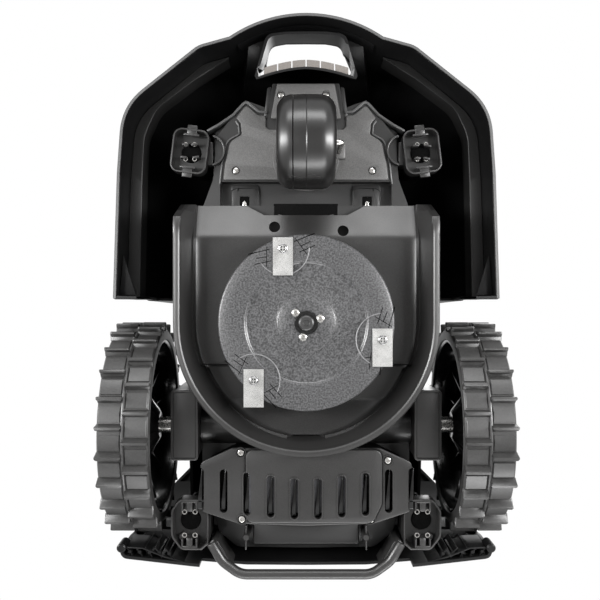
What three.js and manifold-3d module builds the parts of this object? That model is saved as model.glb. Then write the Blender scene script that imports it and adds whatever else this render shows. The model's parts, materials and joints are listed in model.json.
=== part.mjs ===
// Robotic lawn mower on its wheels: ground is z = 0, the front is -Y, the centre line is x = 0.
// All sizes are millimetres. Pieces are closed solids, named as they would be on a bench.
import * as THREE from 'three';
import { mergeVertices } from 'three/addons/utils/BufferGeometryUtils.js';
import Module from 'manifold-3d';

const wasm = await Module();
wasm.setup();

// Clearances
const SEAT = 0.3;          // between pieces that touch
const RUN = 0.6;           // between pieces that move past each other
const WALL = 3;            // moulded plastic wall

// Drive wheels
const wheelRadius = 106;
const lugHeight = 8;
const treadBase = wheelRadius - lugHeight;
const treadThick = 10;
const wheelInner = 145;    // inner face, from the centre line
const rowWidth = 22.5;
const ribWidth = 2;
const lugCount = 24;
const lugWidth = 4;
const rimThick = 3;
const wheelAxleY = 130.6;
const wheelAxleRadius = 8;

// Front caster
const casterRadius = 45;
const casterWidth = 56;
const casterY = -149.3;
const swivelY = -143;
const swivelPinRadius = 6.5;
const turntableRadius = 34;
const turntableThick = 4;
const rodRadius = 3;

// Cutter
const discY = 23.4;
const discRadius = 84;
const discUnderside = 36;
const coneRadius = 58;
const hubRadius = 28;
const bladeLength = 36;
const bladeWidth = 19;
const bladeThick = 0.75;
const bladeHoleInset = 10.6;
const bladePivotInset = 10.2;   // from the disc's edge
const bladePivotRadius = discRadius - bladePivotInset;
const bladeAngles = [252.5, 132.5, 12.5];
const bladeScrewRadius = 2.5;
const motorRadius = 24;
const motorTop = 120;

// Cutter guard
const guardRadius = 118.5;
const guardY = 24;
const guardRim = 28;
const beadWidth = 7;
const beadHeight = 6;
const deckZ = 75;
const deckFrontY = -61;
const lipFrontY = -94;
const lipZ = 92;
const pocketY = 66;
const pocketDepth = 7;
const rampY = 103;
const rampEndZ = 60;
const guardHoleRadius = 5.6;

// Chassis
const tubFloor = 98;
const tubSplit = 150;
const lidTop = 190;
const lidFrontY = -150;
const lidRearY = 190;
const tubHalfWidth = 106;
const tubRearY = 232;
const tubNoseY = -220;
const plateThick = 2.4;
const recessHalf = 88;
const recessFrontY = -119.5;
const recessRearY = -95;
const recessZ = 112;
const gearboxWidth = 25;
const gearboxLength = 67;
const gearboxBottom = 58;
const driveMotorRadius = 16;
const driveMotorLength = 44;

// Vent plate and battery
const ventZ = 58;
const ventSlotPitch = 23;
const ventSlotCount = 10;
const ventSlotWidth = 8;
const ventSlotLength = 42;
const ventSlotY = 192;
const doorThick = 2;

// Suspension cups: x, y, width, length, rim height, floor height
const frontCup = { x: 117.6, y: -148.8, width: 38, length: 45, rim: 85, floor: 100 };
const rearCup = { x: 115, y: 221, width: 35, length: 52, rim: 62, floor: 78 };
const cupWall = 2;
const stemRadius = 6;
const bumpTravel = 4;
const stemTop = 160;

// Rear handle
const handleRadius = 4.6;
const handleZ = 58;
const handleRearY = 268.6;
const handleHalf = 58;

// Cover
const coverNoseY = -273.4;
const coverNoseRadius = 131.5;
const coverHalf = 185.4;
const coverRearY = 266;
const coverTop = 246;
const coverRim = 45;
const coverSideTop = 112;
const waistHalf = 134;
const waistRim = 165;
const bumperY = 241.5;
const bumperTip = 10;
const ledgeZ = 92;
const ledgeWidth = 11;
const holdHalf = 47;
const holdFrontY = -258;
const holdRearY = -235;
const holdDepthZ = 62;
const hatchHalf = 65;
const hatchFrontY = -6;
const hatchRearY = 118;
const hatchBarrelRadius = 3;
const hatchPinRadius = 1.2;
const buttonY = -45;
const buttonRadius = 24;

// Console
const consoleHalf = 58;
const consoleFrontY = 2;
const consoleRearY = 106;
const consoleTop = 222;
const knobRadius = 18;
const knobY = 24;
const keyRadius = 6;
const keyY = 58;
const keyPitch = 30;
const keyTravel = 2;
const displayY = 86;

// ---- geometry helpers ----

function solidOf(geometry, matrix) {
  geometry.deleteAttribute('normal');
  geometry.deleteAttribute('uv');
  if (matrix) geometry.applyMatrix4(matrix);
  const merged = mergeVertices(geometry, 1e-4);
  const mesh = new wasm.Mesh({
    numProp: 3,
    vertProperties: new Float32Array(merged.attributes.position.array),
    triVerts: new Uint32Array(merged.index.array),
  });
  return new wasm.Manifold(mesh);
}

function union(first, ...others) {
  return others.reduce((whole, piece) => whole.add(piece), first);
}

function cut(first, ...others) {
  return others.reduce((whole, piece) => whole.subtract(piece), first);
}

function box(x0, x1, y0, y1, z0, z1) {
  const geometry = new THREE.BoxGeometry(x1 - x0, y1 - y0, z1 - z0);
  geometry.translate((x0 + x1) / 2, (y0 + y1) / 2, (z0 + z1) / 2);
  return solidOf(geometry);
}

// An outline in x and y, raised from z0 to z1.
function prism(outline, z0, z1, curveSegments = 8) {
  const shape = Array.isArray(outline) ? new THREE.Shape(outline) : outline;
  const geometry = new THREE.ExtrudeGeometry(shape, { depth: z1 - z0, bevelEnabled: false, curveSegments });
  geometry.translate(0, 0, z0);
  return solidOf(geometry);
}

// An outline in y and z, drawn out along x.
function prismAlongX(shape, x0, x1, curveSegments = 8) {
  const geometry = new THREE.ExtrudeGeometry(shape, { depth: x1 - x0, bevelEnabled: false, curveSegments });
  const axes = new THREE.Matrix4().makeBasis(
    new THREE.Vector3(0, 1, 0), new THREE.Vector3(0, 0, 1), new THREE.Vector3(1, 0, 0));
  axes.setPosition(x0, 0, 0);
  return solidOf(geometry, axes);
}

// An outline in x and z, drawn out along y.
function prismAlongY(shape, y0, y1, curveSegments = 8) {
  const geometry = new THREE.ExtrudeGeometry(shape, { depth: y1 - y0, bevelEnabled: false, curveSegments });
  const axes = new THREE.Matrix4().makeBasis(
    new THREE.Vector3(1, 0, 0), new THREE.Vector3(0, 0, 1), new THREE.Vector3(0, -1, 0));
  axes.setPosition(0, y1, 0);
  return solidOf(geometry, axes);
}

function cylinderZ(x, y, z0, z1, radius, segments = 32) {
  const geometry = new THREE.CylinderGeometry(radius, radius, z1 - z0, segments);
  geometry.rotateX(Math.PI / 2);
  geometry.translate(x, y, (z0 + z1) / 2);
  return solidOf(geometry);
}

function cylinderX(x0, x1, y, z, radius, segments = 32) {
  const geometry = new THREE.CylinderGeometry(radius, radius, x1 - x0, segments);
  geometry.rotateZ(Math.PI / 2);
  geometry.translate((x0 + x1) / 2, y, z);
  return solidOf(geometry);
}

// A profile of [radius, height] points turned about the vertical axis through x and y.
function turnedZ(profile, x, y, segments = 48) {
  const geometry = new THREE.LatheGeometry(profile.map(([r, h]) => new THREE.Vector2(r, h)), segments);
  geometry.rotateX(Math.PI / 2);
  geometry.translate(x, y, 0);
  return solidOf(geometry);
}

// A profile of [radius, distance] points turned about the x direction through y and z.
function turnedX(profile, y, z, segments = 48) {
  const geometry = new THREE.LatheGeometry(profile.map(([r, h]) => new THREE.Vector2(r, h)), segments);
  geometry.rotateZ(-Math.PI / 2);
  geometry.translate(0, y, z);
  return solidOf(geometry);
}

function tube(points, radius, steps, sides = 12) {
  const path = new THREE.CatmullRomCurve3(points, false, 'centripetal');
  const section = new THREE.Shape();
  section.absarc(0, 0, radius, 0, Math.PI * 2);
  const geometry = new THREE.ExtrudeGeometry(section, {
    steps, curveSegments: sides, bevelEnabled: false, extrudePath: path,
  });
  return solidOf(geometry);
}

function points(...pairs) {
  return pairs.map(([x, y]) => new THREE.Vector2(x, y));
}

// The right half of an outline, front to rear, completed with its mirror image.
function mirrored(half) {
  const left = half.slice().reverse().filter((p) => Math.abs(p.x) > 1e-6);
  return [...half, ...left.map((p) => new THREE.Vector2(-p.x, p.y))];
}

// The outline moved inwards by a distance, corner by corner.
function inset(outline, distance) {
  const count = outline.length;
  return outline.map((point, i) => {
    const before = outline[(i + count - 1) % count];
    const after = outline[(i + 1) % count];
    const a = point.clone().sub(before).normalize();
    const b = after.clone().sub(point).normalize();
    const normal = new THREE.Vector2(-a.y - b.y, a.x + b.x).normalize();
    const stretch = Math.max(normal.dot(new THREE.Vector2(-a.y, a.x)), 0.4);
    return point.clone().addScaledVector(normal, distance / stretch);
  });
}

function roundedRectangle(x, y, width, length, radius) {
  const shape = new THREE.Shape();
  const x0 = x - width / 2;
  const x1 = x + width / 2;
  const y0 = y - length / 2;
  const y1 = y + length / 2;
  shape.absarc(x1 - radius, y0 + radius, radius, -Math.PI / 2, 0);
  shape.absarc(x1 - radius, y1 - radius, radius, 0, Math.PI / 2);
  shape.absarc(x0 + radius, y1 - radius, radius, Math.PI / 2, Math.PI);
  shape.absarc(x0 + radius, y0 + radius, radius, Math.PI, Math.PI * 1.5);
  return shape;
}

function mirrorX(solid) {
  return solid.mirror([1, 0, 0]);
}

const finishes = {
  body: { color: 0x1d1d1e, roughness: 0.45, metalness: 0 },
  shell: { color: 0x101011, roughness: 0.5, metalness: 0 },
  plate: { color: 0x3a3a3c, roughness: 0.5, metalness: 0 },
  tread: { color: 0x2a2a2c, roughness: 0.5, metalness: 0 },
  gloss: { color: 0x0c0c0d, roughness: 0.2, metalness: 0 },
  steel: { color: 0xc8c8c8, roughness: 0.3, metalness: 1 },
  board: { color: 0x1c4a2c, roughness: 0.6, metalness: 0 },
  stop: { color: 0xb01818, roughness: 0.4, metalness: 0 },
  brass: { color: 0xc0a050, roughness: 0.3, metalness: 1 },
};

const model = new THREE.Group();

function place(name, solid, finish) {
  const mesh = solid.getMesh();
  const geometry = new THREE.BufferGeometry();
  geometry.setAttribute('position', new THREE.BufferAttribute(new Float32Array(mesh.vertProperties), 3));
  geometry.setIndex(new THREE.BufferAttribute(new Uint32Array(mesh.triVerts), 1));
  geometry.computeVertexNormals();
  const part = new THREE.Mesh(geometry, new THREE.MeshStandardMaterial(finishes[finish]));
  part.name = name;
  model.add(part);
}

function placePair(name, solid, finish) {
  place(`${name}_right`, solid, finish);
  place(`${name}_left`, mirrorX(solid), finish);
}

// ---- drive wheels ----

// One row of lugs: a toothed ring outline in y and z.
function lugRow(phase) {
  const shape = new THREE.Shape();
  const pitch = (Math.PI * 2) / lugCount;
  const baseHalf = lugWidth / 2 / treadBase;
  const tipHalf = lugWidth / 2 / wheelRadius;
  const at = (radius, angle) => [
    wheelAxleY + radius * Math.sin(angle),
    wheelRadius - radius * Math.cos(angle),
  ];
  for (let i = 0; i < lugCount; i += 1) {
    const centre = phase + i * pitch;
    const corners = [
      [treadBase, centre - baseHalf], [wheelRadius, centre - tipHalf],
      [wheelRadius, centre + tipHalf], [treadBase, centre + baseHalf],
      [treadBase, centre + pitch / 2],
    ];
    corners.forEach(([radius, angle], n) => {
      const [y, z] = at(radius, angle);
      if (i === 0 && n === 0) shape.moveTo(y, z);
      else shape.lineTo(y, z);
    });
  }
  shape.closePath();
  const hole = new THREE.Path();
  hole.absarc(wheelAxleY, wheelRadius, treadBase - treadThick, 0, Math.PI * 2, true);
  shape.holes.push(hole);
  return shape;
}

function tread() {
  const ribStart = wheelInner + rowWidth;
  const ribEnd = ribStart + ribWidth;
  const rib = new THREE.Shape();
  rib.absarc(wheelAxleY, wheelRadius, treadBase + 1.5, 0, Math.PI * 2);
  const hole = new THREE.Path();
  hole.absarc(wheelAxleY, wheelRadius, treadBase - treadThick, 0, Math.PI * 2, true);
  rib.holes.push(hole);
  const segments = 16;
  return union(
    prismAlongX(lugRow(0), wheelInner, ribStart, segments),
    prismAlongX(rib, ribStart, ribEnd, segments),
    prismAlongX(lugRow(Math.PI / lugCount), ribEnd, ribEnd + rowWidth, segments));
}

function rim() {
  const outside = treadBase - treadThick - 2 * SEAT;
  const inside = outside - rimThick;
  const near = wheelInner + 1;
  const far = wheelInner + 2 * rowWidth + ribWidth - 1;
  const bore = wheelAxleRadius + SEAT;
  return turnedX([
    [bore, near + 5], [16, near + 5], [42, near + 24], [inside, near + 24], [inside, near],
    [outside, near], [outside, far], [inside, far], [inside, near + 27], [24, near + 27],
    [24, near + 34], [bore, near + 34], [bore, near + 5],
  ], wheelAxleY, wheelRadius, 28);
}

function hubCap() {
  const start = wheelInner + 35 + SEAT;
  return turnedX([[0, start], [26, start], [26, start + 3], [20, start + 6], [0, start + 6]],
    wheelAxleY, wheelRadius, 20);
}

function wheelAxle() {
  const gearboxOuter = tubHalfWidth + SEAT + gearboxWidth;
  return cylinderX(gearboxOuter - 12, wheelInner + 35, wheelAxleY, wheelRadius, wheelAxleRadius);
}

function driveWheels() {
  placePair('tread', tread(), 'tread');
  placePair('rim', rim(), 'gloss');
  placePair('hub_cap', hubCap(), 'gloss');
  placePair('axle', wheelAxle(), 'steel');
}

// ---- drive units ----

function gearbox() {
  const inner = tubHalfWidth + SEAT;
  const outer = inner + gearboxWidth;
  const y0 = wheelAxleY - gearboxLength * 0.6;
  const body = box(inner, outer, y0, y0 + gearboxLength, gearboxBottom, tubSplit);
  const bore = cylinderX(outer - 13, outer + 1, wheelAxleY, wheelRadius, wheelAxleRadius + RUN);
  return cut(body, bore);
}

function driveMotor() {
  return cylinderX(tubHalfWidth - driveMotorLength, tubHalfWidth, wheelAxleY, wheelRadius, driveMotorRadius);
}

function driveUnits() {
  placePair('gearbox', gearbox(), 'body');
  placePair('drive_motor', driveMotor(), 'body');
}

// ---- chassis ----

function tubOutline() {
  return mirrored(points(
    [0, tubNoseY], [34, tubNoseY], [40, -195], [62, -203], [92, -165], [95, -122],
    [tubHalfWidth, -92], [tubHalfWidth, 186], [94, 195], [94, tubRearY], [0, tubRearY]));
}

function chassisTub() {
  const outline = tubOutline();
  const shell = cut(prism(outline, tubFloor, tubSplit),
    prism(inset(outline, WALL), tubFloor + WALL, tubSplit + 1));
  const recessRoof = recessZ + WALL;
  const recess = box(-recessHalf - WALL, recessHalf + WALL, recessFrontY - WALL, recessRearY + WALL,
    tubFloor, recessRoof);
  const recessSpace = box(-recessHalf, recessHalf, recessFrontY, recessRearY, tubFloor - 1, recessZ);
  const motorSpace = cylinderX(-tubHalfWidth - 1, tubHalfWidth + 1, wheelAxleY, wheelRadius,
    driveMotorRadius + SEAT);
  return cut(union(shell, recess), recessSpace, motorSpace,
    cylinderZ(0, discY, tubFloor - 1, tubFloor + WALL + 1, motorRadius + RUN),
    cylinderZ(0, swivelY, tubFloor - 1, tubFloor + WALL + 1, swivelPinRadius + 4 + SEAT));
}

// The lid is low over the nose and stands up behind it.
function chassisLid() {
  const raised = mirrored(points([0, lidFrontY], [90, lidFrontY], [95, -122],
    [tubHalfWidth, -92], [tubHalfWidth, 178], [98, lidRearY], [0, lidRearY]));
  const low = tubSplit + SEAT;
  return cut(union(prism(tubOutline(), low, low + WALL), prism(raised, low, lidTop)),
    prism(inset(raised, WALL), low - 1, lidTop - WALL));
}

function podOutline() {
  return mirrored(points(
    [0, -173], [38, -173], [39.3, -190.4], [46.5, -190.4], [60.8, -199.6], [67.9, -187.4],
    [64.9, -169], [81.2, -158.8], [86.3, -138.3], [88.4, -120], [0, -120]));
}

function podPlate() {
  const top = tubFloor - SEAT;
  return cut(prism(podOutline(), top - plateThick, top),
    cylinderZ(0, swivelY, top - plateThick - 1, top + 1, swivelPinRadius + RUN));
}

function nosePlate() {
  const top = tubFloor - SEAT;
  const outline = mirrored(points([0, tubNoseY + 1], [31, tubNoseY + 1], [37, -183], [0, -183]));
  return prism(outline, top - plateThick, top);
}

function latch() {
  return union(
    box(47, 77, recessFrontY + 1, recessRearY - 1, recessZ - SEAT - 2, recessZ - SEAT),
    box(57, 67, recessFrontY + 8, recessRearY - 5, recessZ - SEAT - 6, recessZ - SEAT - 1));
}

function casterBush() {
  const outer = swivelPinRadius + 4;
  const bore = swivelPinRadius + RUN;
  const low = tubFloor;
  return turnedZ([[bore, low], [outer, low], [outer, 101 + SEAT], [outer + 6, 101 + SEAT],
    [outer + 6, 105], [outer, 105], [outer, 124], [bore, 124], [bore, low]], 0, swivelY, 16);
}

function chassis() {
  place('chassis_tub', chassisTub(), 'body');
  place('chassis_lid', chassisLid(), 'body');
  place('pod_plate', podPlate(), 'plate');
  place('nose_plate', nosePlate(), 'plate');
  placePair('door_latch', latch(), 'body');
  place('caster_bush', casterBush(), 'steel');
  place('main_board', box(-60, 60, -88, -40, tubFloor + WALL + SEAT, tubFloor + WALL + SEAT + 2), 'board');
}

// ---- cutter guard ----

// A U in plan: straight sides run forward from a half circle round the cutter.
function guardOutline(radius, frontY) {
  const shape = new THREE.Shape();
  shape.moveTo(-radius, frontY);
  shape.lineTo(radius, frontY);
  shape.lineTo(radius, guardY);
  shape.absarc(0, guardY, radius, 0, Math.PI);
  shape.closePath();
  return shape;
}

function deckProfile() {
  const shape = new THREE.Shape();
  const seatZ = tubFloor - SEAT;
  const endY = guardY + guardRadius + 1;
  shape.moveTo(lipFrontY, lipZ);
  shape.lineTo(deckFrontY, deckZ);
  shape.lineTo(pocketY, deckZ);
  shape.lineTo(pocketY, deckZ + pocketDepth);
  shape.lineTo(rampY, deckZ + pocketDepth);
  shape.lineTo(endY, rampEndZ);
  shape.lineTo(endY, rampEndZ + WALL);
  shape.lineTo(rampY + WALL, deckZ + pocketDepth + WALL);
  shape.lineTo(pocketY - WALL, deckZ + pocketDepth + WALL);
  shape.lineTo(pocketY - WALL, deckZ + WALL);
  shape.lineTo(deckFrontY, deckZ + WALL);
  shape.lineTo(lipFrontY + 2 * WALL, seatZ);
  shape.lineTo(lipFrontY, seatZ);
  shape.closePath();
  return shape;
}

function cutterGuard() {
  const segments = 14;
  const outer = guardRadius + WALL;
  const seatZ = tubFloor - SEAT;
  const wallTop = deckZ + pocketDepth + WALL;
  const deck = prismAlongX(deckProfile(), -guardRadius - 1, guardRadius + 1)
    .intersect(prism(guardOutline(guardRadius + 1, lipFrontY - 1), 0, seatZ + 1, segments));
  const wallFront = lipFrontY;
  const wall = cut(prism(guardOutline(outer, wallFront), guardRim, lipZ, segments),
    prism(guardOutline(guardRadius, wallFront - 1), guardRim - 1, lipZ + 1, segments),
    box(-200, 200, pocketY, 300, wallTop, 200));
  const bead = cut(prism(guardOutline(guardRadius + beadWidth, lipFrontY), guardRim, guardRim + beadHeight, segments),
    prism(guardOutline(guardRadius, lipFrontY - 1), guardRim - 1, guardRim + beadHeight + 1, segments));
  const frontCut = new THREE.Shape();
  frontCut.moveTo(lipFrontY - 2, 0);
  frontCut.lineTo(lipFrontY + 18, 0);
  frontCut.lineTo(lipFrontY + 18, guardRim);
  frontCut.lineTo(lipFrontY, lipZ - 2);
  frontCut.lineTo(lipFrontY - 2, lipZ - 2);
  frontCut.closePath();
  const notch = prism(mirrored(points([0, lipFrontY - 1], [62, lipFrontY - 1], [41, lipFrontY + 10],
    [0, lipFrontY + 10])), deckZ - 5, seatZ + 1);
  const post = union(...[[-80, -20], [80, -20], [-80, 80], [80, 80]].map(([x, y]) => (
    cylinderZ(x, y, (y > pocketY ? wallTop : deckZ + WALL) - 1, seatZ, 6, 16))));
  return cut(union(deck, wall, bead, post), prismAlongX(frontCut, -200, 200), notch,
    cylinderZ(-31.6, -71.6, deckZ - 5, seatZ, guardHoleRadius, 20),
    cylinderZ(37.2, -67.6, deckZ - 5, seatZ, guardHoleRadius, 20),
    cylinderZ(0, discY, deckZ - 5, seatZ, motorRadius + RUN + 2));
}

// ---- cutter ----

function cutterMotor() {
  const guideTop = tubFloor + WALL + SEAT + 20;
  return turnedZ([[0, 60], [motorRadius, 60], [motorRadius, guideTop + SEAT], [motorRadius + 6, guideTop + SEAT],
    [motorRadius + 6, guideTop + 4], [motorRadius, guideTop + 4], [motorRadius, motorTop + 8],
    [0, motorTop + 8]], 0, discY, 32);
}

function carriageGuide() {
  const low = tubFloor + WALL + SEAT;
  const inner = motorRadius + RUN;
  return turnedZ([[inner, low], [inner + 7, low], [inner + 7, low + 20], [inner, low + 20], [inner, low]],
    0, discY, 32);
}

function bladeDisc() {
  const low = discUnderside;
  return turnedZ([[0, low + 1], [hubRadius - 2, low + 1], [hubRadius, low + 4], [coneRadius - 1, low + 1.5],
    [coneRadius + 1, low], [discRadius - 1, low], [discRadius, low + 1], [discRadius, low + 3.5],
    [coneRadius + 1, low + 3.5], [hubRadius, low + 8], [20, low + 10], [20, 59.5], [0, 59.5]], 0, discY, 40);
}

function hubNut() {
  const high = discUnderside + 1 - SEAT;
  return turnedZ([[0, high - 6], [6.5, high - 6], [7.6, high - 5], [7.6, high], [0, high]], 0, discY, 24);
}

// A blade hangs straight to the rear from its screw.
function blade(x, y) {
  const high = discUnderside - SEAT - 0.3;
  const front = y - bladeHoleInset;
  return cut(box(x - bladeWidth / 2, x + bladeWidth / 2, front, front + bladeLength, high - bladeThick, high),
    cylinderZ(x, y, high - 2, high + 1, bladeScrewRadius + RUN, 20));
}

function bladeScrew(x, y) {
  const high = discUnderside - SEAT;
  const under = high - 0.3 - bladeThick - 0.4;
  return turnedZ([[0, under - 2.4], [3, under - 2.4], [4.4, under - 1.2], [4.4, under], [bladeScrewRadius, under],
    [bladeScrewRadius, high], [0, high]], x, y, 20);
}

function cutter() {
  place('cutter_motor', cutterMotor(), 'steel');
  place('carriage_guide', carriageGuide(), 'body');
  place('blade_disc', bladeDisc(), 'plate');
  place('hub_nut', hubNut(), 'body');
  bladeAngles.forEach((angle, i) => {
    const turn = THREE.MathUtils.degToRad(angle);
    const x = bladePivotRadius * Math.cos(turn);
    const y = discY + bladePivotRadius * Math.sin(turn);
    place(`blade_${i + 1}`, blade(x, y), 'steel');
    place(`blade_screw_${i + 1}`, bladeScrew(x, y), 'steel');
  });
}

// ---- caster ----

function casterYoke() {
  const low = tubFloor - SEAT - plateThick - SEAT - turntableThick;
  const high = low + turntableThick;
  const armX = casterWidth / 2 + rodRadius + 3;
  const arm = box(armX - rodRadius - 4, armX + rodRadius + 3, casterY - 7, casterY + 8, low, high);
  const rodHole = cylinderZ(armX, casterY, low - 1, high - 1.5, rodRadius + SEAT, 12);
  return cut(union(
    cylinderZ(0, swivelY, low, high, turntableRadius),
    cylinderZ(0, swivelY, low + 1, 128, swivelPinRadius, 24), arm), rodHole);
}

function casterRod() {
  const armX = casterWidth / 2 + rodRadius + 3;
  const high = tubFloor - SEAT - plateThick - SEAT - 1.5 - SEAT;
  const bend = 7;
  const path = [
    new THREE.Vector3(-casterWidth / 2 + 8, casterY, casterRadius),
    new THREE.Vector3(0, casterY, casterRadius),
    new THREE.Vector3(armX - bend, casterY, casterRadius),
    new THREE.Vector3(armX - bend * 0.3, casterY, casterRadius + bend * 0.3),
    new THREE.Vector3(armX, casterY, casterRadius + bend),
    new THREE.Vector3(armX, casterY, casterRadius + 2.5 * bend),
    new THREE.Vector3(armX, casterY, high),
  ];
  return tube(path, rodRadius, 14, 4);
}

// A barrel with round shoulders; the cap closes its left end.
function casterWheel() {
  const half = casterWidth / 2;
  const seam = -half + 15.5;
  const bore = rodRadius + RUN;
  const r = casterRadius;
  return turnedX([[bore, seam], [r - 0.4, seam], [r, 0], [r - 0.7, half - 14], [r - 4.5, half - 5],
    [r - 12, half], [bore, half], [bore, seam]], casterY, casterRadius, 28);
}

function casterCap() {
  const half = casterWidth / 2;
  const seam = -half + 15.5 - SEAT;
  const bore = rodRadius + RUN;
  const r = casterRadius;
  return turnedX([[0, -half], [r - 12, -half], [r - 4.5, -half + 5], [r - 0.7, -half + 14], [r - 0.5, seam],
    [bore, seam], [bore, -half + 6], [0, -half + 6]], casterY, casterRadius, 28);
}

function caster() {
  place('caster_yoke', casterYoke(), 'plate');
  place('caster_rod', casterRod(), 'steel');
  place('caster_wheel', casterWheel(), 'gloss');
  place('caster_cap', casterCap(), 'gloss');
}

// ---- battery and vent tray ----

function ventOutline() {
  return mirrored(points([0, 146], [74, 146], [103.7, 160], [104, 208], [65.5, 219.6], [0, 222]));
}

function ventSlots() {
  const slots = [];
  for (let i = 0; i < ventSlotCount; i += 1) {
    const x = (i - (ventSlotCount - 1) / 2) * ventSlotPitch;
    const y = ventSlotY + 4 - Math.abs(x) * 0.07;
    const shape = roundedRectangle(x, y, ventSlotWidth, ventSlotLength, ventSlotWidth / 2 - 0.1);
    slots.push(prism(shape, ventZ - 5, ventZ + WALL + 1, 2));
  }
  return union(...slots);
}

function ventTray() {
  const top = tubFloor - SEAT;
  const wallOutline = mirrored(points([0, 149], [72, 149], [92, 162], [92, 206], [64, 216], [0, 218]));
  const walls = cut(prism(wallOutline, ventZ + 1, top), prism(inset(wallOutline, WALL), ventZ, top + 1));
  return cut(union(prism(ventOutline(), ventZ, ventZ + WALL), walls), ventSlots());
}

function batteryDoor() {
  const shape = roundedRectangle(7.5, 184.5, 133, 69, 9);
  const y = 184.5;
  return cut(prism(shape, ventZ - SEAT - doorThick, ventZ - SEAT, 5), ventSlots(),
    cylinderZ(62.9, 215.4, ventZ - 5, ventZ, 6, 16),
    cylinderZ(-63.8, y - 34, ventZ - 5, ventZ, 6, 16));
}

function battery() {
  place('vent_tray', ventTray(), 'body');
  place('battery_door', batteryDoor(), 'body');
  place('battery_pack', box(-56, 56, 156, 210, ventZ + WALL + SEAT, tubFloor - 4), 'body');
}

// ---- suspension ----

function suspensionCup(cup, side) {
  const x = cup.x * side;
  const top = cup.floor + WALL;
  const outer = roundedRectangle(x, cup.y, cup.width, cup.length, 9);
  const inner = roundedRectangle(x, cup.y, cup.width - 2 * cupWall, cup.length - 2 * cupWall, 7);
  const body = cut(prism(outer, cup.rim, top, 2), prism(inner, cup.rim - 1, cup.floor, 2));
  const slot = roundedRectangle(x, cup.y, 2 * (stemRadius + RUN), 2 * (stemRadius + RUN + bumpTravel),
    stemRadius + RUN - 0.1);
  const innerX = cup.x - cup.width / 2;
  const wallX = 94 + SEAT + (cup.y < 0 ? 0.4 : 0);
  const bracketTop = 128;
  const bracket = box(wallX, innerX + 4, cup.y - 9, cup.y + 9, cup.floor, bracketTop);
  const arm = side > 0 ? bracket : mirrorX(bracket);
  return cut(union(body, arm), prism(slot, cup.floor - 1, top + 1, 3));
}

function stem(cup, side) {
  const flangeTop = cup.floor - SEAT;
  return turnedZ([[0, flangeTop - 4], [stemRadius + 5, flangeTop - 4], [stemRadius + 5, flangeTop],
    [stemRadius, flangeTop], [stemRadius, stemTop], [0, stemTop]], cup.x * side, cup.y, 20);
}

const cupPlaces = [
  ['front_right', frontCup, 1], ['front_left', frontCup, -1],
  ['rear_right', rearCup, 1], ['rear_left', rearCup, -1],
];

function suspension() {
  cupPlaces.forEach(([name, cup, side]) => {
    place(`cup_${name}`, suspensionCup(cup, side), 'body');
    place(`stem_${name}`, stem(cup, side), 'body');
  });
}

// ---- rear handle ----

function rearHandle() {
  const top = tubFloor - SEAT;
  const x = 87;
  const half = [
    new THREE.Vector3(x, 226, top), new THREE.Vector3(x + 1, 228, top - 14),
    new THREE.Vector3(x + 4, 238, handleZ + 8), new THREE.Vector3(x, 247, handleZ),
    new THREE.Vector3(handleHalf + 12, 262, handleZ), new THREE.Vector3(handleHalf, handleRearY - 1, handleZ),
    new THREE.Vector3(handleHalf - 10, handleRearY, handleZ),
  ];
  const other = half.slice().reverse().map((p) => new THREE.Vector3(-p.x, p.y, p.z));
  const foot = (side) => box(side * x - 5, side * x + 5, 221, 231, top - 4, top);
  return union(tube([...half, ...other], handleRadius, 30, 5), foot(1), foot(-1))
    .subtract(box(-120, 120, 200, 260, top, top + 10));
}

// ---- cover ----

function coverOutline() {
  const arcCentreY = coverNoseY + coverNoseRadius;
  const arcEnd = Math.asin(77 / coverNoseRadius);
  const half = [];
  const arcSteps = 7;
  for (let i = 0; i <= arcSteps; i += 1) {
    const turn = (arcEnd * i) / arcSteps;
    half.push(new THREE.Vector2(coverNoseRadius * Math.sin(turn), arcCentreY - coverNoseRadius * Math.cos(turn)));
  }
  const lobe = new THREE.QuadraticBezierCurve(
    new THREE.Vector2(84, -248), new THREE.Vector2(103, -246), new THREE.Vector2(116, -236));
  const shoulder = new THREE.QuadraticBezierCurve(
    new THREE.Vector2(158, -203), new THREE.Vector2(178, -188), new THREE.Vector2(coverHalf - 5, -160));
  const bumper = new THREE.QuadraticBezierCurve(
    new THREE.Vector2(181, bumperY + bumperTip), new THREE.Vector2(110, 263), new THREE.Vector2(0, coverRearY));
  half.push(...lobe.getPoints(4), ...shoulder.getPoints(5));
  half.push(new THREE.Vector2(coverHalf, 0));
  half.push(new THREE.Vector2(waistHalf + 10, 1.6), new THREE.Vector2(waistHalf, 20));
  half.push(new THREE.Vector2(waistHalf, bumperY - 8), new THREE.Vector2(waistHalf + 8, bumperY));
  half.push(new THREE.Vector2(181, bumperY), ...bumper.getPoints(6));
  return mirrored(half);
}

// Side view of the cover, in y and z, reduced all round by a wall.
function coverSide(wall) {
  const shape = new THREE.Shape();
  const front = coverNoseY - 2 + wall;
  const rear = coverRearY + 2 - wall;
  const top = coverTop - wall;
  shape.moveTo(front, 0);
  shape.lineTo(rear, 0);
  shape.lineTo(rear, 108);
  shape.quadraticCurveTo(rear - 22, 225 - wall, 140, top);
  shape.lineTo(-80, top);
  shape.quadraticCurveTo(-215, 225 - wall, front, 108);
  shape.closePath();
  return shape;
}

function coverFront(wall) {
  const shape = new THREE.Shape();
  const half = coverHalf + 1 - wall;
  const top = coverTop + 1 - wall;
  shape.moveTo(-half, 0);
  shape.lineTo(half, 0);
  shape.lineTo(half, coverSideTop);
  shape.quadraticCurveTo(half - 12, 212, 95, top);
  shape.lineTo(-95, top);
  shape.quadraticCurveTo(-half + 12, 212, -half, coverSideTop);
  shape.closePath();
  return shape;
}

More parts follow.
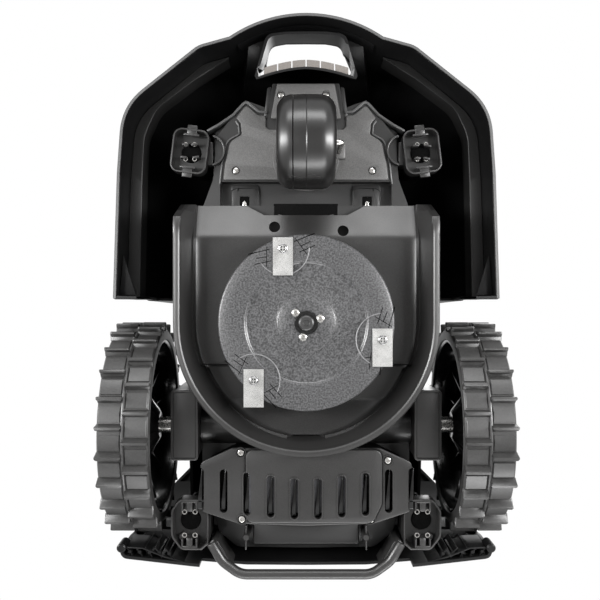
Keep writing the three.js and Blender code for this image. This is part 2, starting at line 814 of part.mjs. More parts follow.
function coverDome(outline, wall) {
  return prism(outline, 0, coverTop + 5)
    .intersect(prismAlongX(coverSide(wall), -300, 300, 5))
    .intersect(prismAlongY(coverFront(wall), -300, 300, 4));
}

// What is cut away under the cover: higher between the wheels and over the rear handle.
function belowCover() {
  return union(
    box(-300, 300, -300, 300, -5, coverRim),
    box(-300, 300, 0, bumperY - 0.5, -5, waistRim),
    box(-96, 96, bumperY - 20, 300, -5, 76));
}

function holdOutline() {
  const shape = new THREE.Shape();
  shape.moveTo(-holdHalf + 6, holdFrontY + 2);
  shape.quadraticCurveTo(0, holdFrontY - 4, holdHalf - 6, holdFrontY + 2);
  shape.lineTo(holdHalf, holdRearY + 6);
  shape.quadraticCurveTo(0, holdRearY - 12, -holdHalf, holdRearY + 6);
  shape.closePath();
  return shape;
}

function coverShell() {
  const outline = coverOutline();
  const innerOutline = inset(outline, WALL);
  const dome = coverDome(outline, 0);
  const space = coverDome(innerOutline, WALL);
  const skin = cut(dome, space);
  const ledgeInner = coverHalf - WALL - ledgeWidth;
  const ledgeSpace = mirrored(points([0, coverNoseY + WALL + 8], [72, -243], [112, -221], [150, -193],
    [ledgeInner - 8, -174], [ledgeInner - 2, -150], [ledgeInner, 0], [0, 0]));
  const ledge = cut(prism(innerOutline, ledgeZ, ledgeZ + WALL), prism(ledgeSpace, 0, 200),
    box(-300, 300, -2, 300, 0, 200));
  const hold = holdOutline();
  const holdPoints = hold.getPoints(6);
  const holdWall = prism(inset(holdPoints, -WALL), holdDepthZ, coverTop + 5).intersect(dome);
  const posts = union(...cupPlaces.map(([, cup, side]) => cut(
    cylinderZ(cup.x * side, cup.y, stemTop - 14, coverTop, stemRadius + 4, 20).intersect(dome),
    cylinderZ(cup.x * side, cup.y, stemTop - 20, stemTop + SEAT, stemRadius + SEAT, 20))));
  const opening = union(
    box(-hatchHalf - 1, hatchHalf + 1, hatchFrontY - 1, hatchRearY + 5, coverTop - WALL - 2, coverTop + 2),
    cylinderZ(0, buttonY, coverTop - WALL - 2, coverTop + 2, buttonRadius + RUN),
    prism(holdPoints, 0, coverTop + 5));
  return cut(union(cut(skin, belowCover()), ledge, holdWall, posts), opening);
}

function hatchLid() {
  const barrelZ = coverTop - hatchBarrelRadius;
  const plate = box(-hatchHalf, hatchHalf, hatchFrontY, hatchRearY - hatchBarrelRadius, coverTop - WALL, coverTop);
  const barrel = cylinderX(-hatchHalf + 10, hatchHalf - 10, hatchRearY, barrelZ, hatchBarrelRadius, 20);
  const lug = box(-hatchHalf + 10, hatchHalf - 10, hatchRearY - 4, hatchRearY, coverTop - WALL, coverTop);
  return cut(union(plate, lug, barrel),
    cylinderX(-hatchHalf, hatchHalf, hatchRearY, barrelZ, hatchPinRadius + SEAT, 16));
}

function hatchPin() {
  const reach = hatchHalf + 1 - SEAT;
  return cylinderX(-reach, reach, hatchRearY, coverTop - hatchBarrelRadius, hatchPinRadius, 12);
}

function stopButton() {
  const under = coverTop - WALL - SEAT - 5;
  return turnedZ([[0, under], [buttonRadius, under], [buttonRadius, coverTop + 5], [buttonRadius - 3, coverTop + 6],
    [0, coverTop + 6]], 0, buttonY, 36);
}

function cover() {
  place('cover_shell', coverShell(), 'shell');
  place('hatch', hatchLid(), 'shell');
  place('hatch_pin', hatchPin(), 'steel');
  place('stop_button', stopButton(), 'stop');
}

// ---- console ----

function console() {
  const keyWell = (x) => cylinderZ(x, keyY, consoleTop - 6, consoleTop + 1, keyRadius + RUN, 20);
  const block = box(-consoleHalf, consoleHalf, consoleFrontY, consoleRearY, lidTop + SEAT, consoleTop);
  place('console', cut(block, keyWell(-keyPitch), keyWell(0), keyWell(keyPitch)), 'plate');
  place('display', box(-30, 30, displayY - 11, displayY + 11, consoleTop + SEAT, consoleTop + 2.3), 'gloss');
  const knob = consoleTop + SEAT;
  place('height_knob', turnedZ([[0, knob], [knobRadius, knob], [knobRadius - 1, knob + 11], [knobRadius - 3, knob + 13],
    [0, knob + 13]], 0, knobY, 24), 'stop');
  [-keyPitch, 0, keyPitch].forEach((x, i) => {
    const low = consoleTop - 6 + SEAT + keyTravel;
    place(`key_${i + 1}`, cylinderZ(x, keyY, low, consoleTop + 3, keyRadius, 20), 'body');
  });
}

driveWheels();
driveUnits();
chassis();
place('cutter_guard', cutterGuard(), 'body');
cutter();
caster();
battery();
suspension();
place('rear_handle', rearHandle(), 'body');
cover();
console();

export default model;
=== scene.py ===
"""Looks for a robotic lawn mower, seen from below. Metres; ground at z = 0, front at -Y."""

import json
import math

import bmesh
import bpy
from mathutils import Matrix, Vector


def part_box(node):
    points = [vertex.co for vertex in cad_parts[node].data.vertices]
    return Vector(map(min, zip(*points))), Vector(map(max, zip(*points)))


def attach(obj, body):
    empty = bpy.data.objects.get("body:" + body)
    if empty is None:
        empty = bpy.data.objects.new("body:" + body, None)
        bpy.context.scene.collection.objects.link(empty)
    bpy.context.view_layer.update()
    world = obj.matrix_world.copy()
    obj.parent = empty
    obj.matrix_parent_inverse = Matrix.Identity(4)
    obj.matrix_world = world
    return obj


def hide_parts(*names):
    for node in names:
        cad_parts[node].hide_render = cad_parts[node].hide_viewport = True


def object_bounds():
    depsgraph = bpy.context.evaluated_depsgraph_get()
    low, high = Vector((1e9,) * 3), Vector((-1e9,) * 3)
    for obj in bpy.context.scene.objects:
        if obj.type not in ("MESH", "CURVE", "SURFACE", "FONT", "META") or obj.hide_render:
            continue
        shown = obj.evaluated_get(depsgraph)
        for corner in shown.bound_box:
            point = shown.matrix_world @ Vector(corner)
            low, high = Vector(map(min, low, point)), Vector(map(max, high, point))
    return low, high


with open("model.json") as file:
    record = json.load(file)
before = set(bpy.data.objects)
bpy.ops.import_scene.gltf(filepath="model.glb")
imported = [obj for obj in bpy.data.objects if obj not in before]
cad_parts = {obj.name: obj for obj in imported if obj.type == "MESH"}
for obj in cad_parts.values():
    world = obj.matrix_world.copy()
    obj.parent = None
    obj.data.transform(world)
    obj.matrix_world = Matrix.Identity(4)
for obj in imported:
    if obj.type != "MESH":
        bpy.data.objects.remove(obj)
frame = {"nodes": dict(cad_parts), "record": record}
CAD_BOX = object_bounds()
NODES = frame["nodes"]

CAMERA_LENS = 47.4
CAMERA_LEFT = 0.006
CAMERA_REAR = 0.0016
CAMERA_BELOW = 0.712
LIGHT_AIM = (0, 0, 0.08)
SIDE_BOX_POWER = 36
NOSE_BOX_POWER = 13
REAR_BOX_POWER = 16
TOP_BOX_POWER = 14
WORLD_LIGHT = 0.35
CARD_GLOW = 0.5
FLOOR_HALF = 6
CARD_HALF = 0.62
CARD_HEIGHT = -0.95


# ---- camera, light and floor ----

def set_camera():
    """Looks straight up at the underside, with the nose at the top of the picture."""
    low, high = CAD_BOX
    data = bpy.data.cameras.new("camera")
    data.lens = CAMERA_LENS
    data.clip_end = 20
    camera = bpy.data.objects.new("camera", data)
    bpy.context.collection.objects.link(camera)
    middle_x = (low[0] + high[0]) / 2
    middle_y = (low[1] + high[1]) / 2
    camera.location = (middle_x - CAMERA_LEFT, middle_y + CAMERA_REAR, low[2] - CAMERA_BELOW)
    camera.rotation_euler = (math.pi, 0, 0)
    bpy.context.scene.camera = camera


def soft_light(name, place, aim, size, power):
    data = bpy.data.lights.new(name, "AREA")
    data.shape = "RECTANGLE"
    data.size, data.size_y = size
    data.energy = power
    lamp = bpy.data.objects.new(name, data)
    bpy.context.collection.objects.link(lamp)
    lamp.location = place
    direction = Vector(aim) - Vector(place)
    lamp.rotation_euler = direction.to_track_quat("-Z", "Y").to_euler()


def set_lights():
    """Tall soft boxes left and right of the camera, one at each end, one above for other views."""
    soft_light("left_box", (-0.95, -0.15, -0.55), LIGHT_AIM, (0.22, 1.3), SIDE_BOX_POWER)
    soft_light("right_box", (0.95, -0.15, -0.55), LIGHT_AIM, (0.22, 1.3), SIDE_BOX_POWER)
    soft_light("nose_box", (0, -1.1, -0.6), LIGHT_AIM, (1.2, 0.35), NOSE_BOX_POWER)
    soft_light("rear_box", (0.2, 1.15, -0.6), LIGHT_AIM, (1.2, 0.35), REAR_BOX_POWER)
    soft_light("top_box", (0.4, -0.6, 1.6), (0, 0, 0.1), (1.2, 1.2), TOP_BOX_POWER)


def blank_tree(owner):
    """The emptied nodes and links of a world or a material."""
    owner.use_nodes = True
    owner.node_tree.nodes.clear()
    return owner.node_tree.nodes, owner.node_tree.links


def studio_square(name, half, height, material):
    """A level square of the studio."""
    corners = [(-half, -half, height), (half, -half, height), (half, half, height), (-half, half, height)]
    mesh = bpy.data.meshes.new(name)
    mesh.from_pydata(corners, [], [(0, 1, 2, 3)])
    mesh.materials.append(material)
    square = bpy.data.objects.new(name, mesh)
    bpy.context.collection.objects.link(square)
    return square


def set_world():
    """White to the camera and in reflections, softer as a light."""
    world = bpy.data.worlds.new("studio")
    bpy.context.scene.world = world
    nodes, links = blank_tree(world)
    path = nodes.new("ShaderNodeLightPath")
    seen = nodes.new("ShaderNodeMath")
    seen.operation = "MAXIMUM"
    links.new(path.outputs["Is Camera Ray"], seen.inputs[0])
    links.new(path.outputs["Is Glossy Ray"], seen.inputs[1])
    seen_through = nodes.new("ShaderNodeMath")
    seen_through.operation = "MAXIMUM"
    links.new(seen.outputs[0], seen_through.inputs[0])
    links.new(path.outputs["Is Transmission Ray"], seen_through.inputs[1])
    soft = nodes.new("ShaderNodeBackground")
    soft.inputs["Strength"].default_value = WORLD_LIGHT
    white = nodes.new("ShaderNodeBackground")
    white.inputs["Color"].default_value = (1, 1, 1, 1)
    mix = nodes.new("ShaderNodeMixShader")
    output = nodes.new("ShaderNodeOutputWorld")
    links.new(seen_through.outputs[0], mix.inputs["Fac"])
    links.new(soft.outputs[0], mix.inputs[1])
    links.new(white.outputs[0], mix.inputs[2])
    links.new(mix.outputs[0], output.inputs["Surface"])


def set_floor():
    """A pale floor that is clear from below, so that the underside can be seen through it."""
    material = bpy.data.materials.new("floor")
    nodes, links = blank_tree(material)
    side = nodes.new("ShaderNodeNewGeometry")
    pale = nodes.new("ShaderNodeBsdfDiffuse")
    pale.inputs["Color"].default_value = (0.86, 0.86, 0.86, 1)
    clear = nodes.new("ShaderNodeBsdfTransparent")
    mix = nodes.new("ShaderNodeMixShader")
    output = nodes.new("ShaderNodeOutputMaterial")
    links.new(side.outputs["Backfacing"], mix.inputs["Fac"])
    links.new(pale.outputs[0], mix.inputs[1])
    links.new(clear.outputs[0], mix.inputs[2])
    links.new(mix.outputs[0], output.inputs["Surface"])
    floor = studio_square("floor", FLOOR_HALF, 0, material)
    floor.location.z = CAD_BOX[0][2]
    floor.visible_shadow = False
    floor.visible_diffuse = False
    floor.visible_glossy = False
    floor.visible_transmission = False


def set_card():
    """A dim card behind the camera, seen only in reflections: grey in the steel, faint in the plastic."""
    material = bpy.data.materials.new("card")
    nodes, links = blank_tree(material)
    glow = nodes.new("ShaderNodeEmission")
    glow.inputs["Color"].default_value = (1, 0.985, 0.97, 1)
    glow.inputs["Strength"].default_value = CARD_GLOW
    output = nodes.new("ShaderNodeOutputMaterial")
    links.new(glow.outputs[0], output.inputs["Surface"])
    card = studio_square("card", CARD_HALF, CARD_HEIGHT, material)
    card.visible_camera = False
    card.visible_shadow = False
    card.visible_diffuse = False


# ---- materials ----

def shader_start(name):
    material = bpy.data.materials.new(name)
    material.use_nodes = True
    nodes, links = material.node_tree.nodes, material.node_tree.links
    shader = nodes["Principled BSDF"]
    place = nodes.new("ShaderNodeTexCoord")
    return material, nodes, links, shader, place.outputs["Object"]


def noise(nodes, links, place, scale, detail=3.0, stretch=None):
    texture = nodes.new("ShaderNodeTexNoise")
    texture.inputs["Scale"].default_value = scale
    texture.inputs["Detail"].default_value = detail
    if stretch:
        mapping = nodes.new("ShaderNodeMapping")
        mapping.inputs["Scale"].default_value = stretch
        links.new(place, mapping.inputs["Vector"])
        place = mapping.outputs["Vector"]
    links.new(place, texture.inputs["Vector"])
    return texture.outputs["Fac"]


def spread(nodes, links, value, low, high):
    """A value from 0.3 to 0.7, where noise lives, spread from low to high."""
    ramp = nodes.new("ShaderNodeMapRange")
    ramp.inputs["From Min"].default_value = 0.3
    ramp.inputs["From Max"].default_value = 0.7
    ramp.inputs["To Min"].default_value = low
    ramp.inputs["To Max"].default_value = high
    links.new(value, ramp.inputs["Value"])
    return ramp.outputs["Result"]


def two_colours(nodes, links, value, dark, light, start=0.35, end=0.65):
    ramp = nodes.new("ShaderNodeValToRGB")
    ramp.color_ramp.elements[0].position = start
    ramp.color_ramp.elements[0].color = (*dark, 1)
    ramp.color_ramp.elements[1].position = end
    ramp.color_ramp.elements[1].color = (*light, 1)
    links.new(value, ramp.inputs["Fac"])
    return ramp.outputs["Color"]


def bump(nodes, links, shader, height, strength, distance):
    node = nodes.new("ShaderNodeBump")
    node.inputs["Strength"].default_value = strength
    node.inputs["Distance"].default_value = distance
    links.new(height, node.inputs["Height"])
    links.new(node.outputs["Normal"], shader.inputs["Normal"])


def moulded(name, colour, roughness, grain=1400, depth=0.25, variation=0.25, cloud=14, gleam=0.5):
    """Moulded plastic: fine spark grain, slow changes of sheen, a little lighter on the grain tops."""
    material, nodes, links, shader, place = shader_start(name)
    fine = noise(nodes, links, place, grain, 2)
    slow = noise(nodes, links, place, cloud, 4)
    light = tuple(c * (1 + variation) + 0.002 for c in colour)
    dark = tuple(c * (1 - variation) for c in colour)
    links.new(two_colours(nodes, links, fine, dark, light), shader.inputs["Base Color"])
    links.new(spread(nodes, links, slow, roughness * 0.85, roughness * 1.2), shader.inputs["Roughness"])
    bump(nodes, links, shader, fine, depth, 0.0001)
    shader.inputs["Specular IOR Level"].default_value = gleam
    return material


def brushed(name, colour, roughness, stretch):
    """Steel with fine lines along one direction and a few faint stains."""
    material, nodes, links, shader, place = shader_start(name)
    lines = noise(nodes, links, place, 900, 3, stretch)
    slow = noise(nodes, links, place, 60, 4)
    light = tuple(min(c * 1.12, 1) for c in colour)
    dark = tuple(c * 0.82 for c in colour)
    links.new(two_colours(nodes, links, slow, dark, light), shader.inputs["Base Color"])
    links.new(spread(nodes, links, lines, roughness * 0.75, roughness * 1.3), shader.inputs["Roughness"])
    shader.inputs["Metallic"].default_value = 1.0
    bump(nodes, links, shader, lines, 0.15, 0.00005)
    return material


MATERIALS = {
    "body": moulded("satin_black", (0.0085, 0.0084, 0.0084), 0.38),
    "guard": moulded("guard_black", (0.0125, 0.0122, 0.012), 0.34, grain=1100),
    # The cover's black is darker than the body's: black plastic darkened further as painted shade of the cover's
    # inside.
    "shell": moulded("shell_black_painted_shade", (0.0016, 0.0016, 0.0017), 0.42, grain=1500, depth=0.15, gleam=0.2),
    "plate": moulded("plate_grey", (0.055, 0.054, 0.053), 0.45, grain=1000, depth=0.4),
    "tread": moulded("tread_grey", (0.016, 0.0157, 0.0154), 0.36, grain=700, depth=0.3),
    "gloss": moulded("gloss_black", (0.004, 0.004, 0.004), 0.14, grain=300, depth=0.05),
    "caster": moulded("caster_black", (0.0045, 0.0043, 0.0042), 0.29, grain=1600, depth=0.12),
    "disc": moulded("disc_grain", (0.036, 0.036, 0.037), 0.30, grain=620, depth=0.9, variation=0.6),
    "steel": brushed("blade_steel", (0.66, 0.66, 0.65), 0.30, (8, 1, 1)),
    "screw": brushed("screw_steel", (0.55, 0.54, 0.52), 0.26, (1, 1, 1)),
    "dark_screw": brushed("dark_screw_steel", (0.16, 0.16, 0.165), 0.28, (1, 1, 1)),
    "disc_edge": moulded("disc_edge", (0.09, 0.09, 0.092), 0.4, grain=900, depth=0.3),
    # Near-black painted shade: slabs, walls, discs and marks put into slots, wells and recesses to stand for their
    # shade; the stems take it too, as black rubber darkened further with painted shade.
    "shade_black": moulded("painted_shade_black", (0.0012, 0.0012, 0.0012), 0.8, grain=900, depth=0.1, gleam=0.04),
    "ledge": moulded("ledge_grey", (0.006, 0.0059, 0.0058), 0.5, grain=1300, depth=0.4, gleam=0.3),
    # The rim's lighter grey is a painted highlight along the skirt's edge; the pod ribs take the same grey.
    "rim_highlight_grey": moulded("rim_highlight_grey", (0.05, 0.05, 0.05), 0.32, grain=1500, depth=0.2),
    "comb": moulded("comb_beige", (0.085, 0.076, 0.069), 0.5, grain=900, variation=0.1),
    "board": moulded("board_green", (0.02, 0.09, 0.04), 0.5, grain=300),
    "pack": moulded("pack_sleeve", (0.03, 0.03, 0.034), 0.5, grain=300),
    "signal": moulded("signal_red", (0.45, 0.02, 0.015), 0.4, grain=900, variation=0.08),
    "key": moulded("soft_key", (0.07, 0.07, 0.074), 0.6, grain=900),
}


# ---- mesh helpers: sizes are millimetres, and become metres when the mesh is made ----

def low_of(node):
    return [c * 1000 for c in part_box(node)[0]]


def high_of(node):
    return [c * 1000 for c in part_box(node)[1]]


def middle_of(node):
    return [(a + b) / 2 for a, b in zip(low_of(node), high_of(node))]


def shade(mesh, angle=32):
    for face in mesh.polygons:
        face.use_smooth = True
    mesh.set_sharp_from_angle(angle=math.radians(angle))


def raw(name, verts, faces, centre=(0, 0, 0)):
    """A mesh object that rides on nothing yet."""
    mesh = bpy.data.meshes.new(name)
    mesh.from_pydata([[c / 1000 for c in v] for v in verts], [], faces)
    work = bmesh.new()
    work.from_mesh(mesh)
    bmesh.ops.remove_doubles(work, verts=work.verts, dist=1e-6)
    bmesh.ops.recalc_face_normals(work, faces=work.faces)
    work.to_mesh(mesh)
    work.free()
    thing = bpy.data.objects.new(name, mesh)
    thing.location = [c / 1000 for c in centre]
    bpy.context.collection.objects.link(thing)
    return thing


def bake_modifiers(thing):
    """Keeps the modified shape as the object's own mesh."""
    shaped = thing.evaluated_get(bpy.context.evaluated_depsgraph_get())
    mesh = bpy.data.meshes.new_from_object(shaped)
    thing.modifiers.clear()
    thing.data = mesh
    return thing


def rounded(thing, width, segments=2, angle=35):
    modifier = thing.modifiers.new("edges", "BEVEL")
    modifier.width = width / 1000
    modifier.segments = segments
    modifier.limit_method = "ANGLE"
    modifier.angle_limit = math.radians(angle)
    modifier.use_clamp_overlap = True
    return bake_modifiers(thing)


def boolean(thing, cutter, operation="DIFFERENCE"):
    modifier = thing.modifiers.new("cut", "BOOLEAN")
    modifier.operation = operation
    modifier.solver = "EXACT"
    modifier.object = cutter
    bake_modifiers(thing)
    bpy.data.objects.remove(cutter)
    return thing


def joined(name, things):
    """Several raw objects as one."""
    work = bmesh.new()
    for thing in things:
        mesh = thing.data
        mesh.transform(thing.matrix_basis)
        work.from_mesh(mesh)
        bpy.data.objects.remove(thing)
    mesh = bpy.data.meshes.new(name)
    work.to_mesh(mesh)
    work.free()
    whole = bpy.data.objects.new(name, mesh)
    bpy.context.collection.objects.link(whole)
    return whole


def own(thing, material, body, replaces=(), angle=32):
    """Dresses a finished piece and hangs it on its body."""
    thing.data.materials.clear()
    thing.data.materials.append(MATERIALS[material])
    shade(thing.data, angle)
    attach(thing, body)
    if replaces:
        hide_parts(*replaces)
    return thing


def on_chassis(thing, material, *nodes):
    """Dresses a fixed piece of the mower's body."""
    own(thing, material, "chassis", nodes, 30)


def block(name, low, high, round_by=0.0, segments=2):
    x0, y0, z0 = low
    x1, y1, z1 = high
    verts = [(x, y, z) for z in (z0, z1) for y in (y0, y1) for x in (x0, x1)]
    faces = [(0, 2, 3, 1), (4, 5, 7, 6), (0, 1, 5, 4), (2, 6, 7, 3), (0, 4, 6, 2), (1, 3, 7, 5)]
    thing = raw(name, verts, faces)
    return rounded(thing, round_by, segments) if round_by else thing


def slab_faces(count):
    """Faces between two outlines of as many points each: both ends, then the strip round them."""
    ends = [tuple(range(count)), tuple(range(count, 2 * count))]
    return ends + [(i, (i + 1) % count, count + (i + 1) % count, count + i) for i in range(count)]


def prism(name, outline, z0, z1, round_by=0.0, segments=2):
    """An outline of x and y points raised from z0 to z1."""
    verts = [(x, y, z0) for x, y in outline] + [(x, y, z1) for x, y in outline]
    lower, *others = slab_faces(len(outline))
    thing = raw(name, verts, [lower[::-1], *others])
    return rounded(thing, round_by, segments) if round_by else thing


def grid_faces(rows, columns, loop_rows, loop_columns):
    faces = []
    for i in range(rows if loop_rows else rows - 1):
        for j in range(columns if loop_columns else columns - 1):
            a, b = i * columns, ((i + 1) % rows) * columns
            k = (j + 1) % columns
            faces.append((a + j, a + k, b + k, b + j))
    return faces


def turned(name, profile, centre, axis="Z", segments=64):
    """A closed profile of (radius, distance) points turned about an axis through the centre."""
    verts = []
    for i in range(segments):
        turn = math.tau * i / segments
        for radius, along in profile:
            a, b = radius * math.cos(turn), radius * math.sin(turn)
            verts.append({"Z": (a, b, along), "X": (along, a, b), "Y": (b, along, a)}[axis])
    faces = grid_faces(segments, len(profile), True, True)
    return raw(name, verts, faces, centre)


def drum(name, radius, z0, z1, x, y, segments=48):
    return turned(name, [(0, z0), (radius, z0), (radius, z1), (0, z1)], (x, y, 0), "Z", segments)


def pipe(name, points, radius, resolution=6, smooth=True):
    """A round rod along a curve."""
    data = bpy.data.curves.new(name, "CURVE")
    data.dimensions = "3D"
    data.bevel_depth = radius / 1000
    data.bevel_resolution = resolution
    data.use_fill_caps = True
    data.resolution_u = 8
    spline = data.splines.new("NURBS" if smooth else "POLY")
    spline.points.add(len(points) - 1)
    for point, place in zip(spline.points, points):
        point.co = (*[c / 1000 for c in place], 1)
    if smooth:
        spline.order_u = 3
        spline.use_endpoint_u = True
    curve = bpy.data.objects.new(name, data)
    bpy.context.collection.objects.link(curve)
    mesh = bpy.data.meshes.new_from_object(curve.evaluated_get(bpy.context.evaluated_depsgraph_get()))
    bpy.data.objects.remove(curve)
    thing = bpy.data.objects.new(name, mesh)
    bpy.context.collection.objects.link(thing)
    return thing


def arc(x, y, radius, start, end, steps):
    """Points on an arc; angles in degrees."""
    span = [math.radians(start + (end - start) * i / steps) for i in range(steps + 1)]
    return [(x + radius * math.cos(a), y + radius * math.sin(a)) for a in span]


def slot_outline(x, y, width, length, radius=None, steps=6):
    """A rounded rectangle round x and y."""
    r = radius if radius is not None else width / 2 - 0.01
    a, b = width / 2 - r, length / 2 - r
    return (arc(x + a, y - b, r, -90, 0, steps) + arc(x + a, y + b, r, 0, 90, steps)
            + arc(x - a, y + b, r, 90, 180, steps) + arc(x - a, y - b, r, 180, 270, steps))


def soft_path(corners, steps=6):
    """Corner points of (x, y, radius) joined by straight lines and round corners."""
    points = []
    count = len(corners)
    for i, (x, y, r) in enumerate(corners):
        here = Vector((x, y))
        if r == 0 or i in (0, count - 1):
            points.append((x, y))
            continue
        to_last = (Vector(corners[i - 1][:2]) - here)
        to_next = (Vector(corners[i + 1][:2]) - here)
        half = to_last.angle(to_next) / 2
        reach = min(r / math.tan(half), 0.48 * to_last.length, 0.48 * to_next.length)
        start = here + to_last.normalized() * reach
        end = here + to_next.normalized() * reach
        for k in range(steps + 1):
            t = k / steps
            p = start * (1 - t) ** 2 + here * 2 * t * (1 - t) + end * t ** 2
            points.append((p.x, p.y))
    return points


def both_sides(half):
    """A half outline, front to rear on the +x side, with its mirror image."""
    return half + [(-x, y) for x, y in reversed(half) if abs(x) > 1e-6]


def offset_path(points, distance):
    """A closed counter-clockwise outline moved inwards."""
    count = len(points)
    moved = []
    for i in range(count):
        before, here, after = (Vector(points[(i + k) % count]) for k in (-1, 0, 1))
        a, b = (here - before).normalized(), (after - here).normalized()
        normal = Vector((-a.y - b.y, a.x + b.x)).normalized()
        stretch = max(normal.dot(Vector((-a.y, a.x))), 0.5)
        moved.append(tuple(here + normal * distance / stretch))
    return moved


def path_normals(path):
    """The unit normal at each point of an open path, on its left."""
    normals = []
    for i in range(len(path)):
        before, after = Vector(path[max(i - 1, 0)]), Vector(path[min(i + 1, len(path) - 1)])
        along = (after - before).normalized()
        normals.append(Vector((-along.y, along.x)))
    return normals


def ribbon(name, path, width, z0, z1, round_by=0.3):
    """A thin wall that follows an open path of x and y points."""
    left, right = [], []
    for here, normal in zip(path, path_normals(path)):
        side = normal * width / 2
        left.append(tuple(Vector(here) + side))
        right.append(tuple(Vector(here) - side))
    return prism(name, right + left[::-1], z0, z1, round_by, 2)


def mirrored_path(path, side):
    """A path on the +x side, or its mirror image in the opposite order."""
    return [(side * x, y) for x, y in path] if side > 0 else [(-x, y) for x, y in reversed(path)]


def even_points(path, count):
    """Points at equal steps along a path."""
    lengths = [0.0]
    for a, b in zip(path, path[1:]):
        lengths.append(lengths[-1] + math.dist(a, b))
    result = []
    for k in range(count):
        want = lengths[-1] * k / (count - 1)
        i = next(i for i in range(len(path) - 1) if lengths[i + 1] >= want - 1e-9)
        t = (want - lengths[i]) / max(lengths[i + 1] - lengths[i], 1e-9)
        result.append(tuple(a + (b - a) * t for a, b in zip(path[i], path[i + 1])))
    return result


# ---- cutter guard ----

GUARD_INNER = 118.5
GUARD_Y = middle_of("blade_disc")[1] + 0.6
GUARD_RIM = low_of("cutter_guard")[2]
GUARD_FRONT = low_of("cutter_guard")[1]
DECK_Z = 75
POCKET_Z = 82
DECK_FRONT = -61
POCKET_FRONT = 66
POCKET_REAR = 103
LIP_Z = 92
WALL_TOP = 86
SLANT_RUN = 18
SLANT_RISE = 52


def guard_path(radius, front, steps=56):
    """The U of the guard, from the front right round to the front left."""
    straight = [(radius, front + (GUARD_Y - front) * i / 14) for i in range(14)]
    return straight + arc(0, GUARD_Y, radius, 0, 180, steps) + [(-x, y) for x, y in reversed(straight)]


def guard_wall():
    """Drafted wall with a round bead along its rim, cut away slantwise at the front."""
    section = [(3, 86), (3, 36), (4.5, 35), (6.2, 33.6), (7, 31.5), (6.8, 29.6), (5.6, 28.4), (4, 28.1),
               (2, 28.1), (0.7, 28.8), (0, 30.5), (-0.6, 36), (-6, 72), (-7.2, 75), (-8, 80), (-8, 86)]
    path = guard_path(0.001, GUARD_FRONT)
    outer = guard_path(1.001, GUARD_FRONT)
    verts = []
    for (x0, y0), (x1, y1) in zip(path, outer):
        nx, ny = (x1 - x0), (y1 - y0)
        if y0 < GUARD_Y:
            nx, ny = math.copysign(1, x1), 0
        for out, z in section:
            reach = GUARD_INNER + out
            x, y = nx * reach, (y0 if y0 < GUARD_Y else GUARD_Y + ny * reach)
            slant = GUARD_RIM + (GUARD_FRONT + SLANT_RUN - y) / SLANT_RUN * SLANT_RISE
            verts.append((x, y, max(z, min(slant, WALL_TOP))))
    faces = grid_faces(len(path), len(section), False, True)
    ends = [tuple(range(len(section))), tuple(range((len(path) - 1) * len(section), len(path) * len(section)))]
    return raw("guard_wall", verts, faces + ends)


def deck_height(y):
    """Height of the deck's underside along the middle."""
    knots = [(GUARD_FRONT, LIP_Z), (DECK_FRONT - 4, DECK_Z + 2.2), (DECK_FRONT, DECK_Z + 0.6),
             (DECK_FRONT + 4, DECK_Z),
             (POCKET_FRONT - 2, DECK_Z), (POCKET_FRONT - 0.6, DECK_Z + 0.4), (POCKET_FRONT, DECK_Z + 1.5),
             (POCKET_FRONT + 0.8, POCKET_Z - 1), (POCKET_FRONT + 2.6, POCKET_Z), (POCKET_REAR - 1.5, POCKET_Z),
             (POCKET_REAR, POCKET_Z - 0.6), (POCKET_REAR + 2, POCKET_Z - 1.6), (GUARD_Y + GUARD_INNER, 61)]
    for (y0, z0), (y1, z1) in zip(knots, knots[1:]):
        if y <= y1:
            return z0 + (z1 - z0) * (y - y0) / (y1 - y0)
    return knots[-1][1]


def guard_deck():
    """Deck with its sloping front lip, rear pocket and a round fillet into the wall."""
    fillet = 6
    stations = [GUARD_FRONT + 3 * i for i in range(12)]
    stations += [DECK_FRONT - 2, DECK_FRONT, DECK_FRONT + 2, DECK_FRONT + 5]
    stations += [DECK_FRONT + 9 + 6 * i for i in range(19)]
    stations += [POCKET_FRONT + d for d in (-4, -2, -1.2, -0.6, 0, 0.4, 0.8, 1.6, 2.6, 5)]
    stations += [POCKET_FRONT + 8 + 4.8 * i for i in range(6)]
    stations += [POCKET_REAR + d for d in (-3, -1.5, 0, 1, 2, 4)]
    end = GUARD_Y + GUARD_INNER - 8
    stations += [POCKET_REAR + 6 + (end - POCKET_REAR - 6.5) * i / 9 for i in range(10)]
    stations = sorted(set(round(y, 3) for y in stations))
    across = 40
    verts = []
    for y in stations:
        inner = GUARD_INNER - 7
        half = inner if y < GUARD_Y else math.sqrt(max(inner ** 2 - (y - GUARD_Y) ** 2, 4))
        for j in range(across + 1):
            s = 2 * j / across - 1
            side = math.copysign(1 - (1 - abs(s)) ** 1.35, s)
            x = half * side
            near = half - abs(x)
            drop = fillet - math.sqrt(max(fillet ** 2 - max(fillet - near, 0) ** 2, 0))
            verts.append((x, y, deck_height(y) - drop))
    deck = raw("guard_deck", verts, grid_faces(len(stations), across + 1, False, False))
    solid = deck.modifiers.new("thick", "SOLIDIFY")
    solid.thickness = 0.003
    solid.offset = 1 if deck.data.polygons[0].normal.z > 0 else -1
    bake_modifiers(deck)
    notch = [(-64, GUARD_FRONT - 2), (64, GUARD_FRONT - 2), (42, GUARD_FRONT + 10), (-42, GUARD_FRONT + 10)]
    boolean(deck, prism("notch", notch, 60, 110))
    for x, y in ((-31.6, -71.6), (37.2, -67.6)):
        boolean(deck, drum("hole", 5.6, 60, 110, x, y, 32))
    boolean(deck, drum("hub_hole", 27, 60, 110, 0, GUARD_Y, 48))
    return deck


